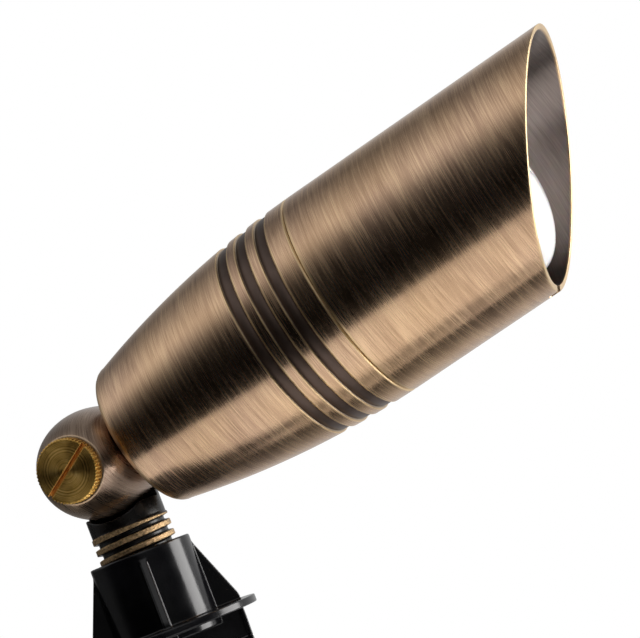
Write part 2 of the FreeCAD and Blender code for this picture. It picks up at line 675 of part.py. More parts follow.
# ---------------------------------------------------------------- housing
def make_housing():
    """Tapered rear body with three ring grooves, and the sleeve that carries lens and shroud."""
    corners = [
        ("spigot_radius + thread_fit", "rear_gap"),
        (f"{outline_radius_at('rear_round')} - rear_round", "rear_gap", "rear_round"),
        (outline_radius_at("rear_round"), "rear_gap + rear_round", "outline_radius"),
    ]
    floor_radius = "(groove_width ^ 2 / (8 * groove_crown) + groove_crown / 2)"
    for number in range(3):
        start = ring(number)
        end = f"({start} + groove_width)"
        ease = f"({end} + land_corner)"
        corners += [
            (outline_radius_at(start), f"rear_gap + {start}"),
            (f"{outline_radius_at(start)} - groove_depth", f"rear_gap + {start}", floor_radius),
            (f"{outline_radius_at(start)} - groove_depth", f"rear_gap + {end}"),
            (f"{outline_radius_at(end)} - land_corner", f"rear_gap + {end}"),
            (outline_radius_at(ease), f"rear_gap + {ease}"),
        ]
    corners += [
        ("seam_radius", f"{SEAM} - seam_corner"),
        ("seam_radius - seam_corner", SEAM),
        ("sleeve_radius", SEAM),
    ]
    groove = "(seal_section + seal_running)"
    for number in range(2):
        middle = f"({SEAM} + seal_first + {number} * seal_pitch)"
        corners += [
            ("sleeve_radius", f"{middle} - {groove}"),
            ("sleeve_radius - 2 * seal_section", f"{middle} - {groove}"),
            ("sleeve_radius - 2 * seal_section", f"{middle} + {groove}"),
            ("sleeve_radius", f"{middle} + {groove}"),
        ]
    step = f"({SLEEVE_END} - 6 * ring_lip)"
    corners += [
        ("sleeve_radius", step),
        ("sleeve_thread", step),
        ("sleeve_thread", SLEEVE_END),
        ("sleeve_bore", SLEEVE_END),
        ("sleeve_bore", LEDGE),
        ("cavity_front", LEDGE),
        ("cavity_rear", "rear_gap + rear_wall"),
        ("spigot_radius + thread_fit", "rear_gap + rear_wall"),
    ]
    body = turned("housing_shell", corners)
    holes = []
    for side in (-1, 1):
        holes.append(cylinder(f"bracket_hole_{side + 1}", "bracket_screw_radius + thread_fit",
                              "bracket_screw_length + 1.5", y=f"{side} * {SCREW_CIRCLE}",
                              z=f"{LEDGE} - bracket_screw_length - 0.5"))
    head(cut("housing_drilled", body, *holes), "housing")


def make_housing_seals():
    """Two seal rings in the sleeve's grooves."""
    middle = "(sleeve_radius + seal_running - seal_section)"
    hoops = []
    for number in range(2):
        place = f"{SEAM} + seal_first + {number} * seal_pitch"
        hoops.append(torus(f"housing_hoop_{number}", middle, "seal_section", place))
    head(grouped("housing_hoops", hoops), "housing_seals")


# ---------------------------------------------------------------- shroud
def make_shroud():
    """Glare shroud that slides over the sleeve; its mouth slants back from the top to the bottom."""
    rear = f"({SEAM} + seam_gap)"
    tip = f"({SEAM} + shroud_length)"
    seal_low = f"({SEAM} + shroud_seal_place - shroud_seal_width / 2 - seal_running)"
    seal_high = f"({SEAM} + shroud_seal_place + shroud_seal_width / 2 + seal_running)"
    groove = "(shroud_bore + shroud_seal_depth + seal_running)"
    shell = turned("shroud_shell", [
        ("shroud_bore", rear),
        ("seam_radius - seam_corner", rear),
        ("seam_radius", f"{rear} + seam_corner"),
        ("shroud_front", tip),
        ("shroud_bore", tip),
        ("shroud_bore", seal_high),
        (groove, seal_high),
        (groove, seal_low),
        ("shroud_bore", seal_low),
    ])
    mouth = block("mouth_cut", "4 * seam_radius", "4 * seam_radius", "4 * seam_radius", x="-shroud_front",
                  y="-2 * seam_radius", z=tip, turn=FreeCAD.Rotation(FreeCAD.Vector(0, 1, 0), 1))
    bind(mouth, "Placement.Rotation.Angle", "rim_slope")
    low_rim = f"({tip} - 2 * shroud_front * tan(rim_slope))"
    half_round = cylinder("notch_round", "notch_radius", "2 * seam_radius",
                          z=f"{low_rim} - notch_depth + notch_radius", turn=ACROSS)
    mouth_of_notch = block("notch_mouth", "2 * seam_radius", "2 * notch_radius", "shroud_length",
                           y="-notch_radius", z=f"{low_rim} - notch_depth + notch_radius")
    head(cut("shroud_cut", shell, mouth, half_round, mouth_of_notch), "shroud")


def make_shroud_seal():
    """Seal in the shroud's own groove; it rides along the sleeve with the shroud."""
    low = f"{SEAM} + shroud_seal_place - shroud_seal_width / 2"
    high = f"{SEAM} + shroud_seal_place + shroud_seal_width / 2"
    inner = "sleeve_radius + 1.4 * seal_running"
    head(tube("shroud_seal_ring", "shroud_bore + shroud_seal_depth", inner, low, high), "shroud_seal")


# ---------------------------------------------------------------- lens
def make_lens():
    """Domed glass with a flange that the lens ring clamps."""
    skirt_top = f"({LENS_BACK} + dome_skirt)"
    outer = document.addObject("Part::Ellipsoid", "dome_outer")
    outer.Angle1 = 0
    bind(outer, "Radius1", "dome_height")
    bind(outer, "Radius2", "dome_radius")
    bind(outer, "Radius3", "dome_radius")
    bind_place(outer, z=skirt_top)
    inner = document.addObject("Part::Ellipsoid", "dome_inner")
    inner.Angle1 = 0
    bind(inner, "Radius1", "dome_height - lens_wall")
    bind(inner, "Radius2", "dome_radius - lens_wall")
    bind(inner, "Radius3", "dome_radius - lens_wall")
    bind_place(inner, z=skirt_top)
    skirt = turned("lens_skirt", [
        ("0", LENS_BACK),
        ("lens_flange_radius", LENS_BACK),
        ("lens_flange_radius", LENS_FRONT),
        ("dome_radius", LENS_FRONT),
        ("dome_radius", skirt_top),
        ("0", skirt_top),
    ])
    hollow = cylinder("lens_hollow", "dome_radius - lens_wall", "dome_skirt", z=LENS_BACK)
    glass = cut("lens_glass", fused("lens_solid", [outer, skirt]), inner, hollow)
    head(glass, "lens")


def make_lens_ring():
    """Threaded ring over the sleeve's end, and the gasket behind the lens."""
    rear = f"({SLEEVE_END} - 6 * ring_lip + seal_running)"
    lip_back = f"({LENS_FRONT} + thread_fit)"
    lip_front = f"({lip_back} + ring_lip)"
    bore = "(sleeve_thread + thread_fit)"
    cap = turned("lens_ring_turned", [
        (bore, rear),
        ("sleeve_radius", rear),
        ("sleeve_radius", f"{lip_front} - seam_corner"),
        ("sleeve_radius - seam_corner", lip_front),
        ("dome_radius + ring_clearance", lip_front),
        ("dome_radius + ring_clearance", lip_back),
        (bore, lip_back),
    ])
    head(cap, "lens_ring")
    gasket = tube("lens_gasket_ring", "sleeve_thread", "sleeve_bore - lens_gasket_inset",
                  SLEEVE_END, LENS_BACK)
    head(gasket, "lens_gasket")


# ---------------------------------------------------------------- lamp and socket
def make_lamp():
    """Reflector lamp in the sleeve: body, front cover, light source plate, base and two pins."""
    rim_back = f"({LAMP_FRONT} - lamp_rim)"
    rim_wall = "(lamp_radius - lamp_wall)"
    cover_back = f"({LAMP_FRONT} - lamp_rim / 2)"
    floor = f"({LAMP_BACK} + 2 * lamp_wall)"
    head(turned("lamp_shell", [
        ("0", LAMP_BACK),
        ("lamp_neck", LAMP_BACK),
        ("lamp_radius", rim_back),
        ("lamp_radius", LAMP_FRONT),
        (rim_wall, LAMP_FRONT),
        (rim_wall, rim_back),
        ("lamp_neck - lamp_wall + 0.6", floor),
        ("0", floor),
    ]), "lamp_body")
    head(turned("lamp_cover_disc", [
        ("0", cover_back),
        (f"{rim_wall} - thread_fit", cover_back),
        (f"{rim_wall} - thread_fit", f"{LAMP_FRONT} - thread_fit"),
        ("0", f"{LAMP_FRONT} - thread_fit"),
    ]), "lamp_cover")
    head(cylinder("source_plate", "source_radius", "source_thickness", z=floor), "lamp_source")
    base = centred_block("base_block", "lamp_base_width", "lamp_base_depth", "lamp_base_height", BASE_BACK)
    head(base, "lamp_base")
    pins = []
    for side in (-1, 1):
        pins.append(cylinder(f"pin_{side + 1}", "pin_radius", "pin_length", x=f"{side} * pin_pitch / 2",
                             z=f"{BASE_BACK} - pin_length"))
    head(grouped("pins", pins), "lamp_pins")
    clip = torus("clip_wire", "sleeve_bore - clip_section - thread_fit", "clip_section",
                 f"{LAMP_FRONT} + clip_section")
    head(clip, "lamp_clip")


def make_socket():
    """Ceramic socket on its bracket, with contacts for the lamp's pins and two leads."""
    height = f"({SOCKET_FRONT} - {SOCKET_BACK})"
    block_shape = centred_block("socket_block", "socket_width", "socket_depth", height, SOCKET_BACK)
    contact = "(pin_radius + thread_fit + contact_wall)"
    contact_low = f"({BASE_BACK} - pin_length - contact_wall)"
    holes = []
    contacts = []
    leads = []
    for side in (-1, 1):
        across = f"{side} * pin_pitch / 2"
        name = "left" if side < 0 else "right"
        holes.append(cylinder(f"{name}_contact_hole", f"{contact} + thread_fit",
                              f"{SOCKET_FRONT} - {contact_low} + 1", x=across, z=contact_low))
        holes.append(cylinder(f"{name}_lead_hole", "lead_radius + thread_fit",
                              f"{contact_low} - {SOCKET_BACK} + 1", x=across, z=f"{SOCKET_BACK} - 1"))
        clip = cylinder(f"{name}_contact_tube", contact, f"{SOCKET_FRONT} - {contact_low} - thread_fit",
                        x=across, z=contact_low)
        bore = cylinder(f"{name}_contact_bore", "pin_radius + thread_fit", f"{height}", x=across,
                        z=f"{BASE_BACK} - pin_length")
        contacts.append(cut(f"{name}_contact", clip, bore))
        leads.append(make_lead(name, side, value(contact_low)))
    head(cut("socket", block_shape, *holes), "lamp_socket")
    head(grouped("contacts", contacts), "socket_contacts")
    head(grouped("leads", leads), "socket_leads")


def make_lead(name, side, top):
    """One insulated lead from its contact back through the neck to the knuckle's pocket."""
    spread = value("pin_pitch / 2")
    neck = value("lead_spread")
    drop = value("-pocket_depth / 2")
    start = value("pocket_outer")
    mouth = value("rear_gap + spigot_end")
    route = [
        FreeCAD.Vector(side * spread, 0, top),
        FreeCAD.Vector(side * spread, 0, (top + mouth) / 2 + 4),
        FreeCAD.Vector(side * neck, drop / 4, mouth + 4),
        FreeCAD.Vector(side * neck, drop / 3, (mouth + start) / 2 + 2),
        FreeCAD.Vector(side * neck, drop * 0.9, start),
    ]
    path = rounded_path(route)
    section = Part.Wire(Part.makeCircle(value("lead_radius"), route[0], route[1] - route[0]))
    lead = document.addObject("Part::Feature", f"{name}_lead")
    lead.Shape = path.makePipeShell([section], True, False)
    return lead


def rounded_path(route):
    """Straight runs joined by tangent arcs as large as the runs allow."""
    edges = []
    last = route[0]
    for before, corner, after in zip(route, route[1:], route[2:]):
        back = (before - corner).normalize()
        ahead = (after - corner).normalize()
        run = 0.45 * min((before - corner).Length, (after - corner).Length)
        enter = corner + back * run
        leave = corner + ahead * run
        half_turn = (math.pi - back.getAngle(ahead)) / 2
        radius = run / math.tan(half_turn)
        inward = (back + ahead).normalize()
        centre = corner + inward * (radius / math.cos(half_turn))
        middle = centre - inward * radius
        edges.append(Part.makeLine(last, enter))
        edges.append(Part.Arc(enter, middle, leave).toShape())
        last = leave
    edges.append(Part.makeLine(last, route[-1]))
    return Part.Wire(edges)


def make_bracket():
    """Sheet disc on the housing's ledge that carries the socket, and its two screws."""
    disc = turned("bracket_disc", [
        ("0", LEDGE),
        ("sleeve_bore - ring_clearance", LEDGE),
        ("sleeve_bore - ring_clearance", SOCKET_BACK),
        ("0", SOCKET_BACK),
    ])
    holes = []
    screws = []
    for side in (-1, 1):
        holes.append(cylinder(f"bracket_lead_hole_{side + 1}", "lead_radius + ring_clearance",
                              "bracket_thickness + 2", x=f"{side} * pin_pitch / 2", z=f"{LEDGE} - 1"))
        place = f"{side} * {SCREW_CIRCLE}"
        holes.append(cylinder(f"bracket_screw_hole_{side + 1}", "bracket_screw_radius + thread_fit",
                              "bracket_thickness + 2", y=place, z=f"{LEDGE} - 1"))
        shank = cylinder(f"bracket_shank_{side + 1}", "bracket_screw_radius",
                         "bracket_screw_length + bracket_thickness + 0.2", y=place,
                         z=f"{LEDGE} - bracket_screw_length")
        cap = cylinder(f"bracket_cap_{side + 1}", f"sleeve_bore - {SCREW_CIRCLE} - thread_fit",
                       "bracket_screw_cap", y=place, z=SOCKET_BACK)
        screws.append(fused(f"bracket_screw_{side + 1}", [shank, cap]))
    head(cut("bracket", disc, *holes), "socket_bracket")
    head(grouped("bracket_fasteners", screws), "bracket_screws")


make_stake()
make_exit_grommet()
make_stem()
make_stem_gland()
make_head_knuckle()
make_knuckle_seal()
make_neck_fastening()
make_clamp_screw()
make_housing()
make_housing_seals()
make_shroud()
make_shroud_seal()
make_lens()
make_lens_ring()
make_lamp()
make_socket()
make_bracket()
document.recompute()

for thing in document.Objects:
    if "Invalid" in thing.State or "Error" in thing.State:
        raise RuntimeError(f"{thing.Name} failed: {thing.State}")
for part in parts:
    if part.Shape.isNull() or not part.Shape.isValid():
        raise RuntimeError(f"{part.Label} has no valid shape")

os.makedirs("parts", exist_ok=True)
for part in parts:
    solids = len(part.Shape.Solids)
    print(f"{part.Label}: {solids} solid(s), {part.Shape.Volume / 1000:.3f} cm3")
    part.Shape.exportStep(f"parts/{part.Label}.step")
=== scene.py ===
"""Garden spike spotlight in its studio: finer pieces over the CAD's, materials, camera, light and floor."""
import math

import bpy
import numpy as np
from mathutils import Matrix, Vector


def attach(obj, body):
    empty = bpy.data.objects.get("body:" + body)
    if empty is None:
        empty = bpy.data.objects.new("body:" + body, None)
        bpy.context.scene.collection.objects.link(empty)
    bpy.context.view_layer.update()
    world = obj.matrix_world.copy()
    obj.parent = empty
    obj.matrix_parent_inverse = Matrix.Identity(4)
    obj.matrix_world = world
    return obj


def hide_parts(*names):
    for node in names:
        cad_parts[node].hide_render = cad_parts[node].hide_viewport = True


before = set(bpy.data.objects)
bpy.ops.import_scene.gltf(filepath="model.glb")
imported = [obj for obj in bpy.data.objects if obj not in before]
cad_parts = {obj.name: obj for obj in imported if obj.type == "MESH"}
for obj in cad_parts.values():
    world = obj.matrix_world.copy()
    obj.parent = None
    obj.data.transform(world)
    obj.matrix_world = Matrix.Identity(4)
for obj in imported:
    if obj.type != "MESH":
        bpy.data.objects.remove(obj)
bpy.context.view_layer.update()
MM = 0.001

# ------------------------------------------------------------------ sizes, in millimetres, as in the CAD
HINGE_HEIGHT = 48.5
REST_TILT = math.radians(78.7)

# the housing, its places counted along the lamp's axis from the hinge
REAR = 12.4
REAR_ROUND = 3.0
SPIGOT_HOLE = 6.05
SEAM = REAR + 69.0
SEAM_RADIUS = 29.25
OUTLINE_RADIUS = 256.0
GROOVE_COUNT = 3
GROOVE_START = REAR + 47.15
GROOVE_PITCH = 6.25
GROOVE_WIDTH = 3.2
GROOVE_DEPTH = 0.95
GROOVE_CROWN = 0.5
GROOVE_STEP = 0.45
SEAM_EASE = 0.35
SLEEVE_RADIUS = 27.5
SLEEVE_LEDGE = 26.3
SLEEVE_END = SEAM + 38.15
THREAD_DEPTH = 7.2
CHAMBER_RADIUS = 25.6
CHAMBER_BACK = REAR + 45
CHAMBER_MIDDLE = 22.6
CHAMBER_REAR = 17.2
REAR_WALL = 4.0

# the shroud
SHROUD_GAP = 0.15
SHROUD_BORE = 27.6
SHROUD_LIP = 0.95
TIP = SEAM + 77.8
TIP_RADIUS = 28.8
RIM_SLOPE = math.tan(math.radians(29.7))
NOTCH_DEPTH = 3.0
NOTCH_HALF = 1.9

# the lens and its ring
LENS_RADIUS = 26.0
LENS_BACK = SLEEVE_END + 1.0
LENS_FRONT = LENS_BACK + 2.2
DOME_RADIUS = 22.7
DOME_HEIGHT = 12.7
SKIRT_TOP = LENS_BACK + 3.6
RING_BORE = 26.35
RING_HEIGHT = 1.2

# the knuckle, and the clamp screw in its middle
BALL_RADIUS = 14.9
BALL_STRAIGHT = 2.5
BALL_NOSE = 25.1
FLAT_RADIUS = 8.8
BALL_FLAT = BALL_STRAIGHT + BALL_NOSE * math.sqrt(1 - (FLAT_RADIUS / BALL_RADIUS) ** 2)
BOSS_RADIUS = 11.5
BOSS_TOP = REAR - 0.5
BOSS_COLLAR = 1.1
WASHER_ROOM = 6.8
WASHER_DEPTH = 0.55
HEAD_HOLE = 3.25
STEM_HOLE = 3.05
SHANK_RADIUS = 3.0
SHANK_REACH = 8
SCREW_RADIUS = 8.05
KNURL_HEIGHT = 0.4
KNURL_COUNT = 55
SCREW_CHAMFER = 0.35
SCREW_LOW = BALL_FLAT + 0.3
SCREW_FACE = SCREW_LOW + 2.75
SLOT_TURN = math.radians(34.5)
SLOT_HALF = 0.55
SLOT_DEPTH = 1.5

# the stem
COLLAR_TOP = 23.0
STEM_FOOT = COLLAR_TOP - 11.0
THREAD_TOP = STEM_FOOT + 18.2
THREAD_PITCH = 2.9
THREAD_ROOT = 9.3
THREAD_HEIGHT = 1.35
THREAD_START = 1.2
NECK_RADIUS = 10.35
SWING_ROOM = 0.45
SWING_TOP = 35.4
HALF_GAP = 0.1
HALF_RADIUS = 10.7
HALF_DEPTH = 10.2
HALF_ROUND = 3.0

# the stake
FIN_TURN = math.radians(22.5)
COLLAR_RADIUS = 13.8
COLLAR_FOOT = -2
COLLAR_BORE = 10.72
COLLAR_FLOOR = 3.0
FLANGE_RADIUS = 24.3
FLANGE_TOP = 2.0
GUSSET_REACH = 20.5
GUSSET_FOOT = 3.5
GUSSET_TOP = COLLAR_TOP - 2.4
GUSSET_HALF = 1.0
BLADE_TOP = 1
BLADE_REACH = 20.2
TAPER_TOP = -3
BLADE_SHOULDER = -55
SHOULDER_REACH = 19.0
BLADE_HALF = 0.9
EDGE_HALF = 1.7
EDGE_WIDTH = 1.0
BLADE_END = -184
POINT_TOP = -182.2
POINT_RADIUS = 2.6
STAKE_TIP = -190
EXIT_HEIGHT = 8.6
EXIT_RADIUS = 6.6
EXIT_FACE = 15.6
EXIT_BORE = 4.6
STAKE_SPLIT = -8

HEAD = Matrix.Translation((0, 0, HINGE_HEIGHT * MM)) @ Matrix.Rotation(REST_TILT, 4, "Y")
HINGE = Matrix.Translation((0, 0, HINGE_HEIGHT * MM)) @ Matrix.Rotation(math.pi / 2, 4, "X")
STAKE = Matrix.Rotation(FIN_TURN, 4, "Z")


# ------------------------------------------------------------------ meshes
EDGE_STEPS = 4
EDGE_GUARD = 0.3
SEGMENTS = 224


def add_mesh(name, points, faces, place, body, replaced, material, marks=None):
    """A piece from points in millimetres in a frame of its own, which its marks keep for the brushing."""
    mesh = bpy.data.meshes.new(name)
    own = np.asarray(points) * MM
    turn = np.array(place.to_3x3())
    placed = own @ turn.T + np.array(place.translation)
    mesh.from_pydata([tuple(p) for p in placed], [], [tuple(map(int, f)) for f in faces])
    mesh.validate()
    mesh.polygons.foreach_set("use_smooth", [True] * len(mesh.polygons))
    for mark, values in (marks or {}).items():
        layer = mesh.attributes.new(mark, "FLOAT", "POINT")
        layer.data.foreach_set("value", np.asarray(values, dtype=np.float32))
    around = np.stack([-own[:, 1], own[:, 0], own[:, 2] * 0], axis=1)
    around /= np.maximum(np.linalg.norm(around, axis=1), 1e-9)[:, None]
    for mark, values in (("own_place", own), ("around", around @ turn.T)):
        layer = mesh.attributes.new(mark, "FLOAT_VECTOR", "POINT")
        layer.data.foreach_set("vector", values.astype(np.float32).ravel())
    mesh.materials.append(material)
    piece = bpy.data.objects.new(name, mesh)
    bpy.context.collection.objects.link(piece)
    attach(piece, body)
    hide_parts(*replaced)


def softened(corners):
    """Rounds a closed outline, with a plain point before and after each rounding where there is room.

    A corner is (radius, height, rounding, wear, floor).
    """
    outline = []
    count = len(corners)
    for index, (r, z, rounding, wear, floor) in enumerate(corners):
        here = np.array((r, z))
        before = np.array(corners[index - 1][:2]) - here
        after = np.array(corners[(index + 1) % count][:2]) - here
        if rounding <= 0:
            outline.append((r, z, wear, floor))
            continue
        back = before / np.linalg.norm(before)
        ahead = after / np.linalg.norm(after)
        turn = math.acos(max(-1.0, min(1.0, float(back @ ahead))))
        shorter = min(np.linalg.norm(before), np.linalg.norm(after))
        reach = min(rounding / math.tan(turn / 2), 0.45 * shorter)
        margin = reach + EDGE_GUARD
        if np.linalg.norm(before) > 2.2 * margin:
            outline.append((*(here + back * margin), 0.0, floor))
        start, end = here + back * reach, here + ahead * reach
        for step in range(EDGE_STEPS + 1):
            t = step / EDGE_STEPS
            point = (1 - t) ** 2 * start + 2 * t * (1 - t) * here + t ** 2 * end
            outline.append((*point, wear, floor))
        if np.linalg.norm(after) > 2.2 * margin:
            outline.append((*(here + ahead * margin), 0.0, floor))
    return outline


def hoop_faces(segments, count):
    """Four-cornered faces of a closed ring of closed outlines, each with as many points."""
    a = np.arange(segments)[:, None] * count
    b = ((np.arange(segments) + 1) % segments)[:, None] * count
    i = np.arange(count)[None, :]
    j = (np.arange(count) + 1)[None, :] % count
    return np.stack([(a + i), (b + i), (b + j), (a + j)], axis=-1).reshape(-1, 4)


def lathe(name, corners, place, body, replaced, material):
    """Turns a closed outline about its own Z axis."""
    outline = np.array(softened(corners))
    count = len(outline)
    angles = np.linspace(0, 2 * math.pi, SEGMENTS, endpoint=False)
    r = outline[:, 0][None, :]
    points = np.stack([
        (r * np.cos(angles)[:, None]).ravel(),
        (r * np.sin(angles)[:, None]).ravel(),
        np.broadcast_to(outline[:, 1][None, :], (SEGMENTS, count)).ravel(),
    ], axis=1)
    marks = {
        "wear": np.tile(outline[:, 2], SEGMENTS),
        "floor": np.tile(outline[:, 3], SEGMENTS),
    }
    add_mesh(name, points, hoop_faces(SEGMENTS, count), place, body, replaced, material, marks)


def outer_radius(z):
    """Outside of the tapered housing at a place along the lamp's axis."""
    return SEAM_RADIUS - OUTLINE_RADIUS + math.sqrt(OUTLINE_RADIUS ** 2 - (SEAM - z) ** 2)


def net(field, low, high, cell):
    """Mesh of the surface where a field of millimetre points is zero; it is below zero inside."""
    axes = [np.arange(lo, hi + cell, cell) for lo, hi in zip(low, high)]
    grid = np.meshgrid(*axes, indexing="ij")
    value = field(*grid)
    inside = value < 0
    shape = tuple(n - 1 for n in value.shape)
    corner = [(a, b, c) for a in (0, 1) for b in (0, 1) for c in (0, 1)]

    def part(array, offset):
        return array[tuple(slice(o, o + n) for o, n in zip(offset, shape))]

    total = sum(part(inside, c).astype(np.int8) for c in corner)
    active = (total > 0) & (total < 8)
    cells = np.argwhere(active)
    place = np.zeros((len(cells), 3))
    crossings = np.zeros(len(cells))
    for start in corner:
        for axis in range(3):
            if start[axis]:
                continue
            end = tuple(1 if k == axis else s for k, s in enumerate(start))
            v0 = part(value, start)[active]
            v1 = part(value, end)[active]
            crossed = (v0 < 0) != (v1 < 0)
            t = np.where(crossed, v0 / np.where(crossed, v0 - v1, 1), 0)
            offset = np.array(start, dtype=float)[None, :] + np.eye(3)[axis][None, :] * t[:, None]
            place += np.where(crossed[:, None], offset, 0)
            crossings += crossed
    points = np.array(low)[None, :] + (cells + place / crossings[:, None]) * cell
    index = np.full(shape, -1, dtype=np.int64)
    index[active] = np.arange(len(cells))
    faces = []
    for axis in range(3):
        u, v = [k for k in range(3) if k != axis]
        first = inside[tuple(slice(0, -1) if k == axis else slice(1, -1) for k in range(3))]
        second = inside[tuple(slice(1, None) if k == axis else slice(1, -1) for k in range(3))]
        at = np.argwhere(first != second)
        at[:, u] += 1
        at[:, v] += 1
        rising = first[tuple((at - np.array([0 if k == axis else 1 for k in range(3)])).T)]
        quads = []
        for du, dv in ((1, 1), (0, 1), (0, 0), (1, 0)):
            near = at.copy()
            near[:, u] -= du
            near[:, v] -= dv
            quads.append(index[tuple(near.T)])
        quads = np.stack(quads, axis=1)
        flip = rising if axis == 1 else ~rising
        quads[flip] = quads[flip][:, ::-1]
        faces.append(quads)
    faces = np.concatenate(faces)
    step = cell * 0.05
    for _ in range(3):
        f = field(*points.T)
        slope = np.stack([
            (field(*(points + way).T) - field(*(points - way).T)) / (2 * step)
            for way in np.eye(3) * step
        ], axis=1)
        move = slope * (f / np.maximum((slope ** 2).sum(axis=1), 0.05))[:, None]
        length = np.linalg.norm(move, axis=1)
        move *= np.minimum(1, 0.6 * cell / np.maximum(length, 1e-9))[:, None]
        points = points - move
    return points, faces


# ------------------------------------------------------------------ fields
def join(a, b, k):
    """Union with a fillet of about k."""
    h = np.clip(0.5 + 0.5 * (b - a) / k, 0, 1)
    return b * (1 - h) + a * h - k * h * (1 - h)


def less(a, b, k):
    """a without b, the edge eased by about k."""
    return -join(-a, b, k)


def within(a, b, k):
    """What a and b share, the edge eased by about k."""
    return -join(-a, -b, k)


def slab(x, low, high):
    return np.maximum(low - x, x - high)


def drum(r, h, radius, low, high, ease):
    return within(r - radius, slab(h, low, high), ease)


# ------------------------------------------------------------------ materials
def fill_ramp(node, stops):
    """Colours or plain numbers at places along 0 to 1, in their order."""
    elements = node.color_ramp.elements
    while len(elements) > 1:
        elements.remove(elements[-1])
    for index, (place, colour) in enumerate(stops):
        element = elements[0] if index == 0 else elements.new(place)
        element.position = place
        element.color = (*colour, 1) if isinstance(colour, tuple) else (colour, colour, colour, 1)


class Tree:
    """A node tree in short form."""

    def __init__(self, tree):
        self.tree = tree

    def add(self, kind, inputs=None, **settings):
        node = self.tree.nodes.new(kind)
        for key, value in settings.items():
            setattr(node, key, value)
        for key, value in (inputs or {}).items():
            self.feed(node.inputs[key], value)
        return node

    def feed(self, socket, value):
        if isinstance(value, bpy.types.NodeSocket):
            self.tree.links.new(value, socket)
        else:
            socket.default_value = value

    def math(self, operation, a, b=0.0, clamp=False):
        return self.add("ShaderNodeMath", {0: a, 1: b}, operation=operation, use_clamp=clamp).outputs[0]


class Look(Tree):
    """A material on the principled shader."""

    def __init__(self, name, **shader):
        self.material = bpy.data.materials.new(name)
        self.material.use_nodes = True
        super().__init__(self.material.node_tree)
        self.shader = self.tree.nodes["Principled BSDF"]
        for key, value in shader.items():
            self.shader.inputs[key.replace("_", " ")].default_value = value
        self.spot = self.add("ShaderNodeTexCoord").outputs["Object"]

    def noise(self, scale, detail=3.0, roughness=0.55, stretch=(1, 1, 1), shift=0.0):
        """Noise of about 1 / scale metres, drawn out where stretch is small."""
        place = self.add("ShaderNodeMapping", {
            "Vector": self.spot,
            "Scale": tuple(scale * s for s in stretch),
            "Location": (shift, shift * 0.7, -shift),
        })
        return self.add("ShaderNodeTexNoise", {
            "Vector": place.outputs[0], "Scale": 1.0, "Detail": detail, "Roughness": roughness,
        }).outputs[0]

    def ramp(self, value, *stops):
        node = self.add("ShaderNodeValToRGB", {0: value})
        fill_ramp(node, stops)
        return node.outputs[0]

    def mix(self, factor, a, b):
        node = self.add("ShaderNodeMix", data_type="RGBA")
        self.feed(node.inputs["Factor"], factor)
        for socket, value in ((node.inputs[6], a), (node.inputs[7], b)):
            self.feed(socket, (*value, 1) if isinstance(value, tuple) else value)
        return node.outputs[2]

    def mark(self, name, output="Fac"):
        return self.add("ShaderNodeAttribute", attribute_name=name).outputs[output]

    def around(self):
        """Direction of the brushing, round the piece's own Z axis."""
        return self.add("ShaderNodeVectorTransform", {"Vector": self.mark("around", "Vector")},
                        vector_type="VECTOR", convert_from="OBJECT", convert_to="WORLD").outputs[0]

    def bump(self, height, strength, distance, under=None):
        inputs = {"Height": height, "Strength": strength, "Distance": distance}
        if under is not None:
            inputs["Normal"] = under
        return self.add("ShaderNodeBump", inputs).outputs[0]

    def wire(self, **sockets):
        for key, value in sockets.items():
            self.feed(self.shader.inputs[key.replace("_", " ")], value)
        return self.material


WORN_BRONZE = (0.86, 0.64, 0.36)
GOLDEN_CLOUD = (0.72, 0.47, 0.22)
BARE_DARK, BARE_LIGHT = (0.19, 0.155, 0.14), (0.27, 0.225, 0.205)
PATINA = (0.105, 0.075, 0.062)


def grey(level):
    return (level, level, level)


